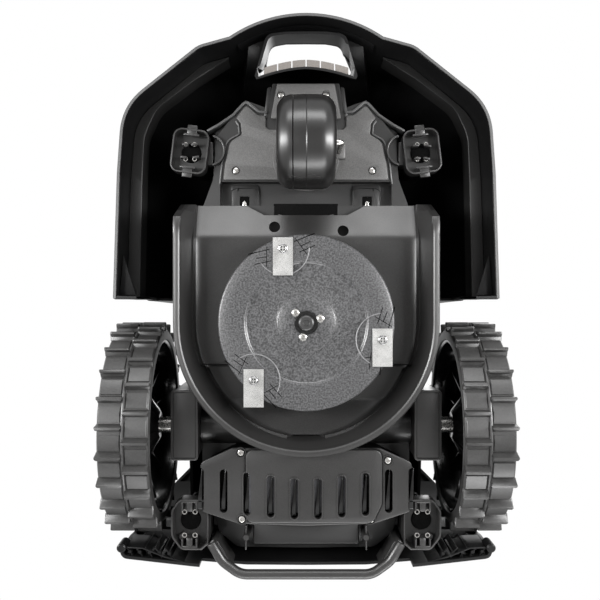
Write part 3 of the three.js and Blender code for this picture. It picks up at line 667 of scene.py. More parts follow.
def guard_front_flange():
    """The edge strip that the lip hooks over the tub with, and the side cheeks."""
    strip = [(62.5, GUARD_FRONT), (110.5, GUARD_FRONT), (110.5, GUARD_FRONT + 2.2), (62.5, GUARD_FRONT + 2.2)]
    cheek = [(110, GUARD_FRONT), (121, GUARD_FRONT), (121, GUARD_FRONT + 34), (110, GUARD_FRONT + 34)]
    parts = []
    for side in (-1, 1):
        parts.append(prism("lip_edge", mirrored_path(strip, side), LIP_Z, LIP_Z + 5.5, 0.5))
        parts.append(prism("cheek", mirrored_path(cheek, side), 84, LIP_Z + 2, 1.2))
    return parts


def cutter_guard():
    own(joined("guard", [guard_wall(), guard_deck(), *guard_front_flange()]), "guard", "chassis",
        ("cutter_guard",), 28)


# ---- cutter disc and blades ----

def screw_head(name, x, y, z, radius, body, material="screw", cross=True, height=1.6):
    """A round head facing the ground, domed, with a driver recess."""
    head = turned(name, [(0, -height), (radius * 0.55, -height), (radius * 0.85, -height * 0.8),
                         (radius, -height * 0.35), (radius, 0), (0, 0)], (x, y, z), "Z", 28)
    if cross:
        reach, arm = radius * 0.55, radius * 0.14
        for a, b in ((reach, arm), (arm, reach)):
            boolean(head, block("driver", (x - a, y - b, z - height - 1), (x + a, y + b, z - height * 0.45)))
    else:
        star = [(x + radius * (0.5 if k % 2 else 0.36) * math.cos(math.tau * k / 12),
                 y + radius * (0.5 if k % 2 else 0.36) * math.sin(math.tau * k / 12)) for k in range(12)]
        boolean(head, prism("driver", star, z - height - 1, z - height * 0.3))
    return own(head, material, body, (), 30)


def cutter_disc():
    """Stepped disc with a cone inside a flat ring, ribs, and near-black slot marks of painted shade near each
    blade.
    """
    low, high = low_of("blade_disc"), high_of("blade_disc")
    x, y, _ = middle_of("blade_disc")
    z = low[2]
    radius = (high[0] - low[0]) / 2
    profile = [(0, 1.4), (11.2, 1.4), (12, 1.0), (27, 1.2), (27.9, 1.6), (28.4, 2.6), (30, 3.0), (44, 2.6),
               (56.5, 2.2),
               (57.4, 1.6), (58, 0.6), (59, 0.1), (70, 0.0), (81.6, 0.0), (83, 0.4), (83.8, 1.2), (radius, 2.2),
               (radius, 3.4), (59, 3.5), (28, 8), (20, 10), (20, 23.4), (0, 23.4)]
    disc = turned("disc", profile, (x, y, z), "Z", 128)
    own(disc, "disc", "cutter_disc", ("blade_disc",), 24)
    collar = turned("hub_collar", [(7.9, -0.2), (10.6, -0.2), (11.2, 0.4), (11.2, 1.6), (7.9, 1.6)],
                    (x, y, z), "Z", 48)
    own(collar, "gloss", "cutter_disc")
    nut_low = low_of("hub_nut")[2] - z
    nut = turned("hub_nut_cap", [(0, nut_low + 0.9), (2.6, nut_low + 0.9), (3.2, nut_low + 0.2),
                                 (5.8, nut_low), (6.9, nut_low + 0.7),
                                 (7.4, nut_low + 2), (7.6, 0.6), (0, 0.6)], (x, y, z), "Z", 40)
    own(nut, "body", "cutter_disc", ("hub_nut",))
    for k in range(3):
        turn = math.radians(-17 + 120 * k)
        screw_head(f"hub_screw_{k + 1}", x + 13.9 * math.cos(turn), y + 13.9 * math.sin(turn), z + 1.1, 3.9,
                   "cutter_disc", cross=False, height=2.0)
    for k in range(3):
        blade = middle_of(f"blade_screw_{k + 1}")
        turn = math.atan2(blade[1] - y, blade[0] - x)
        blade_seat(k + 1, x, y, z, turn)
        screw_head(f"blade_head_{k + 1}", blade[0], blade[1], low_of(f"blade_screw_{k + 1}")[2] + 2.0, 4.4,
                   "cutter_disc", "dark_screw", height=2.0)


def blade_seat(number, x, y, z, turn):
    """The rib arc by the blade's screw, and near-black lines of painted shade for the disc's slots there."""
    cosine, sine = math.cos(turn), math.sin(turn)

    def at(radial, along, height):
        return (x + radial * cosine - along * sine, y + radial * sine + along * cosine, z + height)

    swing = [at(73.8 - 25 * math.cos(math.radians(a)), 25 * math.sin(math.radians(a)), 0.35)
             for a in range(-75, 76, 10)]
    rib = pipe("swing_rib", swing, 0.55, 2)
    own(rib, "disc_edge", "cutter_disc")
    rib.name = f"swing_rib_{number}"
    # Near-black lines of painted shade where the disc's slots are.
    marks = []
    for side in (-1, 1):
        for start, end, reach in ((14, 30, 66), (17, 27, 71), (12, 33, 77)):
            marks.append(pipe("slot_shade_mark", [at(reach, side * start, 0.4), at(reach + 1.5, side * end, 0.4)],
                              0.6, 1, False))
        marks.append(pipe("slot_shade_mark", [at(62, side * 20, 0.4), at(80, side * 14, 0.4)], 0.55, 1, False))
    own(joined(f"slot_shade_marks_{number}", marks), "shade_black", "cutter_disc")


# ---- cover ----

COVER_TOP = high_of("cover_shell")[2]
COVER_FRONT = low_of("cover_shell")[1]
COVER_REAR = high_of("cover_shell")[1]
COVER_RIM = low_of("cover_shell")[2]
NOSE_RADIUS = 131.5
WAIST = 134
WAIST_RIM = 165
BUMPER_RIM = 58
HANDLE_ARCH = 76
WALL = 3
LEDGE_Z = 92
HOLD_BASE = 62
HOLD_HALF = 48
HOLD_CORNER_Y = -218
HOLD_SIGHT = 712
SCOOP_FLOOR = 92
SCOOP_HALF = 55
STEMS = ("stem_front_left", "stem_front_right", "stem_rear_left", "stem_rear_right")


def cover_outline():
    """Round nose, a notch, a lobe, wide shoulders, straight sides, a waist between the wheels and a rear bumper."""
    half = arc(0, COVER_FRONT + NOSE_RADIUS, NOSE_RADIUS, -90, -90 + 34.2, 16)
    half = [(max(x, 0), y) for x, y in half]
    half += soft_path([(75.2, -249.6, 0), (77.4, -249.8, 0), (104, -242.4, 26), (177, -184.5, 58),
                       (181.5, -120, 70),
                       (185.2, -2, 0)], 9)[1:]
    half += [(185.2, 0.2), (183, 1.2), (163, 1.2), (150, 1.4), (144, 3), (138.5, 9), (WAIST, 20)]
    half += [(WAIST, 232), (WAIST + 2.5, 238.5), (WAIST + 8, 241.5)]
    half += soft_path([(WAIST + 20, 241.5, 0), (182.6, 241.5, 3), (180, 253.5, 8), (110, 261.5, 60),
                       (60, 265.6, 60), (0, COVER_REAR, 0)], 6)
    return both_sides(half)


def finer(path, step=7.0):
    """The same closed outline with long edges divided."""
    points = []
    for here, after in zip(path, path[1:] + path[:1]):
        pieces = max(1, math.ceil(math.dist(here, after) / step))
        points += [tuple(a + (b - a) * k / pieces for a, b in zip(here, after)) for k in range(pieces)]
    return points


def gap_to(point, path):
    """The shortest distance from a point to a closed outline."""
    p = Vector(point)
    best = 1e9
    for here, after in zip(path, path[1:] + path[:1]):
        a, b = Vector(here), Vector(after)
        t = min(max((p - a).dot(b - a) / max((b - a).length_squared, 1e-9), 0), 1)
        best = min(best, (a + (b - a) * t - p).length)
    return best


def half_outline(wall):
    """The outline moved in by the wall, front to rear, on the +x side."""
    outline = finer(cover_outline())
    if not wall:
        return [p for p in outline if p[0] > -1e-6]
    moved = [p for p in offset_path(outline, wall) if p[0] > -1e-6]
    return [p for p in moved if gap_to(p, outline) > wall * 0.97]


def top_targets(half, wall):
    """Where each shoulder line ends on the flat top: points of a rounded rectangle round the hatch, in order."""
    half_x, half_y, mid_y, power = 92 - wall, 106 - wall, 30, 4.5
    targets, last = [], -math.pi / 2 - 0.01
    for x, y in half:
        turn = math.pi / 2 if y > mid_y and x < 1e-4 else max(math.atan2(y - mid_y, x), last + 0.002)
        last = turn
        c, s = math.cos(turn), math.sin(turn)
        reach = (abs(c / half_x) ** power + abs(s / half_y) ** power) ** (-1 / power)
        targets.append((reach * c if x > 1e-4 else 0.0, mid_y + reach * s))
    return targets


def dome_loft(name, wall, floor):
    """A closed dome: straight up from the floor, then drawn in over a round shoulder to the flat top."""
    start, top, power = 108, COVER_TOP - wall, 2.3
    half = half_outline(wall)
    targets = top_targets(half, wall)
    levels = [floor, start] + [start + (top - start) * t for t in
                               (0.1, 0.2, 0.3, 0.4, 0.49, 0.57, 0.64, 0.7, 0.76, 0.81, 0.86, 0.9, 0.935,
                                0.965, 0.985, 1)]
    right = []
    for (x, y), (tx, ty) in zip(half, targets):
        column = []
        for z in levels:
            t = min(max((z - start) / (top - start), 0), 1)
            out = (1 - t ** power) ** (1 / power) * (1 - 0.10 * t) * 0.995 + 0.005
            column.append((tx + (x - tx) * out, ty + (y - ty) * out, z))
        right.append(column)
    left = [[(-x, y, z) for x, y, z in column] for column in reversed(right[1:-1])]
    rows = right + left
    count, width = len(rows), len(levels)
    verts = [p for row in rows for p in row]
    faces = grid_faces(count, width, True, False)
    faces.append(tuple(i * width for i in reversed(range(count))))
    faces.append(tuple(i * width + width - 1 for i in range(count)))
    return raw(name, verts, faces)


def scoop(name, drop):
    """The hollow over the nose that leaves a low bar in front of the hand-hold."""
    profile = [(-300, SCOOP_FLOOR), (-263, SCOOP_FLOOR), (-258, 94.5), (-244, 110), (-233, 138), (-227, 164),
               (-214, 190), (-204, 300), (-300, 300)]
    verts = []
    for side in (-1, 1):
        for y, z in profile:
            half = SCOOP_HALF + drop + max(z - SCOOP_FLOOR, 0) * 0.16
            verts.append((side * half, y + drop * 0.7, z - drop))
    return raw(name, verts, slab_faces(len(profile)))


def cover_skin():
    """The moulded wall, cut away over the wheels and arched over the handle."""
    outside = boolean(dome_loft("cover_skin", 0, COVER_RIM), scoop("scoop", 0))
    inside = boolean(dome_loft("cover_inside", WALL, 20), scoop("scoop_inside", WALL))
    skin = boolean(outside, inside)
    boolean(skin, block("wheel_space", (-163, -9, 0), (163, 238, WAIST_RIM)))
    boolean(skin, block("wheel_sides", (-200, 1.6, 0), (200, 245.2, WAIST_RIM - 45)))
    boolean(skin, block("wheel_backs", (-200, 1.6, 0), (200, 238, WAIST_RIM)))
    boolean(skin, block("bumper_space", (-200, 237, 0), (200, 300, BUMPER_RIM)))
    boolean(skin, prism("handle_arch", [(-104, 237), (104, 237), (104, 300), (-104, 300)], 0, HANDLE_ARCH))
    return skin


def dome_solid():
    return boolean(dome_loft("dome_solid", 0.4, 40), scoop("scoop_over", 0.4))


def hold_arc(x):
    """The rear edge of the hand-hold at its mouth."""
    return -227 + 10 * (abs(x) / HOLD_HALF) ** 1.7


def hold_hole(name, grow=0.0, low=20, high=150):
    """The hole: straight at the front, drawn forwards with height at the rear."""
    half_width = HOLD_HALF + grow
    front = soft_path([(0, -259 - grow, 0), (20, -258.8 - grow, 0), (36.5 + grow, -256.5 - grow, 10),
                       (half_width, HOLD_CORNER_Y, 0)], 6)
    rear = [(half_width - 1.5, hold_arc(HOLD_HALF) + grow)]
    rear += [(x, hold_arc(x) + grow) for x in (44, 38, 30, 22, 14, 7, 0)]
    corner_x, corner_y = front[-1]

    def ring(z):
        draw = (HOLD_SIGHT + z) / (HOLD_SIGHT + HOLD_BASE)
        corner = (corner_x, min(corner_y, corner_y * draw))
        half = front[:-1] + [corner] + [(x, y * draw) for x, y in rear]
        return [(x, y, z) for x, y in half] + [(-x, y, z) for x, y in reversed(half) if x > 1e-6]

    lower, upper = ring(low), ring(high)
    return raw(name, lower + upper, slab_faces(len(lower)))


def cover_cuts(thing):
    hatch_low, hatch_high = low_of("hatch"), high_of("hatch")
    boolean(thing, hold_hole("hold"))
    corner = slot_outline((hatch_low[0] + hatch_high[0]) / 2, (hatch_low[1] + hatch_high[1] + 4) / 2,
                          hatch_high[0] - hatch_low[0] + 1.6, hatch_high[1] - hatch_low[1] + 4.6, 8)
    boolean(thing, prism("hatch_hole", corner, COVER_TOP - 9, COVER_TOP + 5))
    x, y, _ = middle_of("stop_button")
    radius = (high_of("stop_button")[0] - low_of("stop_button")[0]) / 2
    boolean(thing, drum("stop_hole", radius + 0.6, COVER_TOP - 9, COVER_TOP + 5, x, y))


def ledge(side):
    """The flat shelf inside the skirt: wide at the shoulder, narrow along the side."""
    outer = soft_path([(78.5, -245.5, 0), (104, -238.6, 26), (173.5, -182, 55), (178, -120, 70),
                       (181.8, -2, 0)], 14)
    inner = soft_path([(79, -243.5, 0), (112, -223, 20), (152, -193, 34), (164.5, -165, 40), (166.5, -120, 60),
                       (169, -2, 0)], 14)
    section = ((0, 0.2), (0.1, 0), (0.92, 0), (0.99, 0.5), (1.0, 1.4), (1.0, 30), (0.97, 30), (0.97, 3), (0, 3))
    count = 60
    verts = []
    for (ox, oy), (ix, iy) in zip(even_points(outer, count), even_points(inner, count)):
        for t, z in section:
            verts.append((side * (ox + (ix - ox) * t), oy + (iy - oy) * t, LEDGE_Z + z))
    return raw("ledge", verts, grid_faces(count, len(section), False, True))


def hold_wall():
    """The wall round the hand-hold, trimmed to the dome."""
    wall = boolean(hold_hole("hold_wall", 2.4, HOLD_BASE, 149), hold_hole("hold_space"))
    return boolean(wall, dome_solid(), "INTERSECT")


def hold_comb():
    """Six thin finger plates in front of the rear edge."""
    plates = []
    for k in range(6):
        x0, x1 = -42 + 14 * k + 0.6, -28 + 14 * k - 0.6
        xs = [x0 + (x1 - x0) * i / 4 for i in range(5)]
        outline = [(x, hold_arc(x) - 7.2) for x in xs] + [(x, hold_arc(x) + 0.6) for x in reversed(xs)]
        plates.append(prism("plate", outline, HOLD_BASE + 1.5, HOLD_BASE + 2.7, 0.25, 1))
    return joined("hold_comb", plates)


def front_band():
    """The stepped inner band across the nose, between the rim and the hand-hold."""
    outer = arc(0, COVER_FRONT + NOSE_RADIUS, NOSE_RADIUS - 3.2, -90 - 32, -90 + 32, 30)
    shelf = arc(0, COVER_FRONT + NOSE_RADIUS, NOSE_RADIUS - 5.4, -90 - 32, -90 + 32, 30)
    verts = []
    for (ox, oy), (sx, sy) in zip(outer, shelf):
        verts += [(ox, oy, 70), (sx, sy, 74), (sx, sy, 86), (ox, oy, 86)]
    return raw("front_band", verts, grid_faces(len(outer), 4, False, True))


def bumper_ribs(side):
    """Slanted ribs with small bosses inside each rear corner, and the round knob at its tip."""
    parts = []
    for k in range(5):
        x = 177 - 9.6 * k
        start, end = (x, 243.4 + 0.3 * k), (x - 7, 252.2 + 0.7 * k)
        ribs = [start, ((start[0] + end[0]) / 2 - 1.2, (start[1] + end[1]) / 2), end]
        parts.append(ribbon("rib", mirrored_path(ribs, side), 1.2, 61, 108, 0.25))
        parts.append(turned("boss", [(0, 0), (1.6, 0), (1.9, 0.5), (1.9, 40), (0, 40)],
                            (side * (x - 4.6), ribs[1][1], 60.4), "Z", 16))
    sweep = soft_path([(176, 243.4, 0), (160, 244, 8), (140, 252, 20), (116, 259, 0)], 8)
    parts.append(ribbon("bumper_edge", mirrored_path(sweep, side), 1.3, 59, 100, 0.3))
    knob = turned("knob", [(0, 0), (3, 0), (4.4, 1.2), (4.4, 22), (0, 22)], (side * 180.2, 243.4, 56), "Z", 28)
    return parts + [knob]


def corner_gusset(side):
    """The triangular web in the rear corner of the skirt, and the skirt's end."""
    web = prism("gusset", mirrored_path([(182, -3), (166, -3), (178, -42)], side), 58, 61, 0.5)
    flange = mirrored_path([(184.6, -2.6), (184.6, 0.8), (163, 0.8), (163, -1.8)], side)
    return [web, prism("skirt_end", flange, COVER_RIM + 0.4, 120, 0.6)]


def stem_posts():
    """Tubes under the cover's top that hold the stems."""
    posts = []
    for node in STEMS:
        x, y, _ = middle_of(node)
        top = high_of(node)[2]
        profile = [(6.4, top - 13), (9.4, top - 13), (10, top - 12), (10, COVER_TOP), (0, COVER_TOP),
                   (0, top + 0.4), (6.4, top + 0.4)]
        posts.append(boolean(turned("post", profile, (x, y, 0), "Z", 32), dome_solid(), "INTERSECT"))
    return posts


def cover():
    skin = cover_skin()
    cover_cuts(skin)
    own(skin, "shell", "cover", ("cover_shell",), 24)
    own(joined("skirt_ledge", [ledge(1), ledge(-1)]), "ledge", "cover")
    own(joined("hand_hold_wall", [hold_wall()]), "shell", "cover")
    own(hold_comb(), "comb", "cover")
    own(front_band(), "shell", "cover")
    parts = bumper_ribs(1) + bumper_ribs(-1) + corner_gusset(1) + corner_gusset(-1) + stem_posts()
    own(joined("cover_ribs", parts), "shell", "cover")
    rim_highlight_grey()


def rim_highlight_grey():
    """The rolled edge of the skirt; its lighter grey is a painted highlight."""
    edge = [(x, y) for x, y in cover_outline() if y < 0 or y < 0.5 and abs(x) > 163]
    path = [p for p in edge if p[0] < 0] + [p for p in edge if p[0] >= 0]
    section = [(0.0, 1.2), (0.5, 0.0), (2.6, 0.0), (3.1, 1.2), (3.1, 2.4), (0.0, 2.4)]
    verts = []
    for (x, y), normal in zip(path, path_normals(path)):
        for out, z in section:
            verts.append((x + normal.x * (out - 0.1), y + normal.y * (out - 0.1), COVER_RIM - 0.3 + z))
    thing = raw("rim_highlight_grey", verts, grid_faces(len(path), len(section), False, True))
    own(thing, "rim_highlight_grey", "cover")


# ---- caster and front plates ----

def caster():
    low, high = low_of("caster_wheel"), high_of("caster_wheel")
    y, z, r = (low[1] + high[1]) / 2, (low[2] + high[2]) / 2, (high[2] - low[2]) / 2
    seam, half = low[0], high[0]
    turns = [math.radians(a) for a in range(0, 91, 9)]
    shoulder = [(r - 13.8 + 13.5 * math.cos(a), half - 15 + 15 * math.sin(a)) for a in turns]
    right = [(3.6, seam + 0.1), (r - 1.2, seam + 0.1), (r - 0.6, seam + 0.6), (r - 0.15, -5), (r, -0.5),
             (r - 0.3, 0),
             (r, 0.5), (r - 0.15, 6)] + shoulder + [(13, half), (11, half - 2), (3.6, half - 2)]
    own(turned("roller", right, (0, y, z), "X", 96), "caster", "caster_roller", ("caster_wheel",), 25)
    left = [(3.6, seam - 0.4), (3.6, 2 - half), (11, 2 - half), (13, -half)] + [(a, -b) for a,
                                                                                b in shoulder[::-1]]
    left += [(r - 0.6, seam - 1.0), (r - 1.2, seam - 0.4)]
    own(turned("roller_cap", left, (0, y, z), "X", 96), "caster", "caster_roller",
        ("caster_cap",), 25)
    yoke_low, yoke_high = low_of("caster_yoke"), high_of("caster_yoke")
    pivot = (0, (yoke_low[1] + yoke_high[1]) / 2, 0)
    radius = (yoke_high[1] - yoke_low[1]) / 2
    base = yoke_low[2]
    plate = turned("turntable", [(0, base), (radius - 1, base), (radius, base + 1), (radius, base + 4),
                                 (6.5, base + 4),
                                 (6.5, yoke_high[2]), (0, yoke_high[2])], pivot, "Z", 72)
    ring = turned("turntable_ring", [(radius - 4, base), (radius - 3.4, base - 0.8), (radius - 2.6, base - 0.8),
                                     (radius - 2, base)], pivot, "Z", 72)
    arm = block("rod_boss", (25, y - 8, base - 1.5), (yoke_high[0] + 0.5, y + 8, base + 4), 2, 3)
    own(joined("caster_turntable", [plate, ring, arm]), "plate", "caster_fork", ("caster_yoke",), 30)
    rod_low, rod_high = low_of("caster_rod"), high_of("caster_rod")
    reach = rod_high[0] - 3
    path = [(rod_low[0], y, z), (0, y, z), (reach - 9, y, z), (reach - 2, y, z), (reach, y, z + 2),
            (reach, y, z + 9),
            (reach, y, rod_high[2])]
    own(pipe("axle_rod", path, 3, 8), "screw", "caster_fork", ("caster_rod",), 40)


def nose_plate():
    low, high = low_of("nose_plate"), high_of("nose_plate")
    outline = both_sides(soft_path([(0, low[1], 0), (29.5, low[1], 2), (high[0] - 0.8, high[1], 2.5),
                                    (0, high[1], 0)], 4))
    plate = prism("nose_plate", outline, low[2] - 2.4, high[2], 1.1, 3)
    for x in (-25.4, 20.4):
        boolean(plate, drum("sink", 4.2, low[2] - 5, low[2] - 0.8, x, -207.6, 32))
        screw_head("nose_screw", x, -207.6, low[2] - 0.9, 3.1, "chassis", "screw", True, 1.4)
    own(plate, "plate", "chassis", ("nose_plate",), 30)
    legs = []
    for side in (1, -1):
        outer = [(35.5, low[1] + 2), (39.5, low[1] + 3), (43, high[1] - 4), (39.5, high[1] + 1)]
        legs.append(prism("nose_flank", mirrored_path(outer, side), low[2] + 2, 128, 1, 2))
    own(joined("nose_flanks", legs), "body", "chassis")


def pod_plate():
    low, high = low_of("pod_plate"), high_of("pod_plate")
    rear = high[1] - 1
    half = soft_path([(0, -172.6, 0), (38, -172.6, 2), (41, -175.5, 2), (41, -186.9, 3), (48.5, -187.2, 5),
                      (61.5, -197.8, 4), (71.4, -184.5, 1.5), (66.8, -179, 2), (65.5, -167.5, 3),
                      (77.5, -160.5, 12),
                      (82.6, -138, 20), (84.4, rear, 0), (0, rear, 0)], 5)
    plate = prism("pod_plate", both_sides(half), low[2], high[2] + 3, 0.9, 3)
    for x in (-71.5, 67.6):
        boolean(plate, drum("sink", 4.4, low[2] - 3, low[2] + 1.6, x, -130.5, 32))
        screw_head("pod_screw", x, -130.5, low[2] + 1.5, 3.2, "chassis", "screw", True, 1.6)
    own(plate, "plate", "chassis", ("pod_plate",), 30)
    ribs = []
    for side in (1, -1):
        rib = soft_path([(39.5, -190.2, 0), (47.8, -190.8, 5), (61.6, -201.6, 5), (74.5, -187.5, 3),
                         (88.4, -178, 6),
                         (101, -171, 0)], 5)
        ribs.append(ribbon("ear_rib", mirrored_path(rib, side), 2.6, low[2] - 0.6, high[2] + 14, 0.7))
        inner = soft_path([(72, -181.5, 0), (69, -177.5, 2), (68, -168, 3), (80.5, -161.5, 12),
                           (85.8, -138, 20),
                           (88, -117, 0)], 5)
        ribs.append(ribbon("ear_wall", mirrored_path(inner, side), 1.6, low[2] + 0.6, high[2] + 16, 0.5))
    own(joined("pod_ribs", ribs), "rim_highlight_grey", "chassis")


def pod_flanks():
    """The sloping sides of the nose pod and the wall behind the plate."""
    parts = []
    for side in (1, -1):
        flank = [(74, -186), (88, -178.5), (95, -172), (95, -126), (88, -118), (86, -138), (81, -160),
                 (69, -168)]
        parts.append(prism("flank", mirrored_path(flank, side), 104, 150, 2, 2))
        blade = [(86.4, -170), (94, -164), (94, -150), (86.4, -146)]
        parts.append(prism("flank_step", mirrored_path(blade, side), 98.5, 110, 1.2, 2))
    own(joined("pod_flanks", parts), "body", "chassis")


def latch(node, side):
    low, high = low_of(node), high_of(node)
    x0, x1 = sorted((side * 48.6, side * 77.6))
    base = high[2] - 2.6
    window = slot_outline((x0 + x1) / 2, (low[1] + high[1]) / 2 + 2.5, x1 - x0, high[1] - low[1] + 4, 3.5, 3)
    plate = prism("latch_window", window, base, high[2], 0.5)
    mid = side * 63.6
    boolean(plate, block("slot", (mid - 5, -106, base - 2), (mid + 5, -93.5, base + 1.6)))
    boolean(plate, block("notch", (mid - 7.3, -114.5, base - 2), (mid + 7.3, -111.4, base + 1.6)))
    own(plate, "body", "chassis", (node,))
    frame_path = soft_path([(side * 48.8, -90, 0), (side * 48.8, -112, 3), (mid - side * 8, -114.6, 2),
                            (mid + side * 8, -114.6, 2),
                            (side * 77.4, -112, 3), (side * 77.4, -92, 0)], 3)
    own(ribbon("latch_line", frame_path, 0.9, base - 0.6, base + 0.5, 0.25), "ledge", "chassis")
    # A near-black block in the latch slot: painted shade in the slot.
    dark = block("latch_slot_shade", (mid - 4.8, -105.8, base + 0.6), (mid + 4.8, -93.7, base + 1.5), 0.2)
    own(dark, "shade_black", "chassis")
    tongue = prism("tongue", slot_outline(mid, -97.6, 3.6, 6, 1.4, 3), base - 1.2, base + 0.4, 0.4)
    hook = block("hook", (mid - 3.4, -95.2, base - 1.8), (mid + 3.4, -93.6, base + 0.2), 0.5)
    own(joined("latch_tongue", [tongue, hook]), "screw", "chassis")


def finger_recess():
    """The pull between the latches, with its lip; its dark is a near-black slab of painted shade in the recess."""
    own(block("pull_painted_shade", (-33, -97, 97.9), (33, -79.5, 99.2), 1.4), "shade_black", "chassis")
    lip = ribbon("pull_lip", [(-28, -85.4), (-20, -83.6), (0, -83), (20, -83.6), (28, -85.4)], 1.0, 95.4,
                 97.9, 0.3)
    own(lip, "guard", "chassis")


def front_cup(node, side):
    """A tilted open cup with a rolled rim, clip tabs at its ends and four fins standing from its floor."""
    low, high = low_of(node), high_of(node)
    x = side * 117.6
    y = (low[1] + high[1]) / 2
    width, length = 37, high[1] - low[1]
    rim, floor = low[2], rim_floor(node)
    parts = [tilted(cup_wall(x, y, width, length, 9, 1.8, rim, floor), x, y, floor, side * -7)]
    for end in (-1, 1):
        tab_y, bar_y = y + end * (length / 2 - 1), y + end * (length / 2 - 6)
        stem_wall = block("tab", (x - 5, tab_y - 5, rim + 1), (x + 5, tab_y + 5, rim + 6), 0.8)
        cross = block("tab_bar", (x - 8, bar_y - 1, rim), (x + 8, bar_y + 1, rim + 5), 0.5)
        parts += [tilted(joined("tabs", [stem_wall, cross]), x, y, floor, side * -7)]
    for dx in (-5.5, 5.5):
        for dy in (-6.5, 6.5):
            fin = block("fin", (x + dx - 3.2, y + dy - 1, rim + 2), (x + dx + 3.2, y + dy + 1, floor), 0.4)
            parts.append(tilted(fin, x, y, floor, side * (-7 + 14 * (dx > 0))))
    shell = arc(side * 98, y - 2, 15, 100, 258, 12) if side > 0 else arc(side * 98, y - 2, 15, 80, -78, 12)
    parts.append(ribbon("cup_neck", shell, 2, 92, 126, 0.6))
    arm_start, arm_end = sorted((side * 95, side * 103))
    parts.append(block("cup_arm", (arm_start, y - 12, 100), (arm_end, y + 12, 126), 1.5))
    on_chassis(joined(node + "_cup", parts), "guard", node)
    places = ((-4.5, -7.5), (4.5, -7.5), (-4.5, 7.5), (4.5, 7.5))
    cup_glints(node, x, y, (rim + floor) / 2 - 2, (1.5, 2.2), 0.5, places)


def rim_floor(node):
    """The height of a cup's floor, from the stem flange that hangs just under it."""
    return low_of(node.replace("cup", "stem"))[2] + 4.3


def tilted(thing, x, y, z, degrees):
    """The piece turned about an upright line."""
    turn = Matrix.Rotation(math.radians(degrees), 4, "Z")
    shift = Matrix.Translation((x / 1000, y / 1000, z / 1000))
    thing.data.transform(shift @ turn @ shift.inverted())
    return thing


def cup_wall(x, y, width, length, corner, wall, rim, floor):
    """A cup's side wall and floor, open towards the ground."""
    outside = prism("cup_outside", slot_outline(x, y, width, length, corner, 6), rim, floor + 3, 0.7, 3)
    space = slot_outline(x, y, width - 2 * wall, length - 2 * wall, corner - wall, 6)
    return boolean(outside, prism("cup_inside", space, rim - 2, floor))


def cup_glints(node, x, y, height, radius, half, places):
    """Small plated spring clips that catch the light."""
    ring = [(radius[0], -half), (radius[1], -half), (radius[1], half), (radius[0], half)]
    clips = [turned("clip", ring, (x + dx, y + dy, height), "Z", 20) for dx, dy in places]
    own(joined(node + "_clips", clips), "screw", "chassis")


def stems():
    """Rubber-cored stems that stand on the cup floors, in near-black: black rubber with painted shade of the cups.
    """
    for node in STEMS:
        x, y, _ = middle_of(node)
        low, top = low_of(node)[2], high_of(node)[2]
        profile = [(0, low + 1.5), (4.5, low + 1.5), (9.5, low + 2.4), (10, low + 3.2), (10, low + 4),
                   (6, low + 4), (6, top), (0, top)]
        own(turned(node + "_post", profile, (x, y, 0), "Z", 40), "shade_black", "stems", (node,))


def front_parts():
    caster()
    nose_plate()
    pod_plate()
    pod_flanks()
    latch("door_latch_right", 1)
    latch("door_latch_left", -1)
    finger_recess()
    front_cup("cup_front_right", 1)
    front_cup("cup_front_left", -1)
    stems()


# ---- vent plate, rear cups, handle and drive units ----

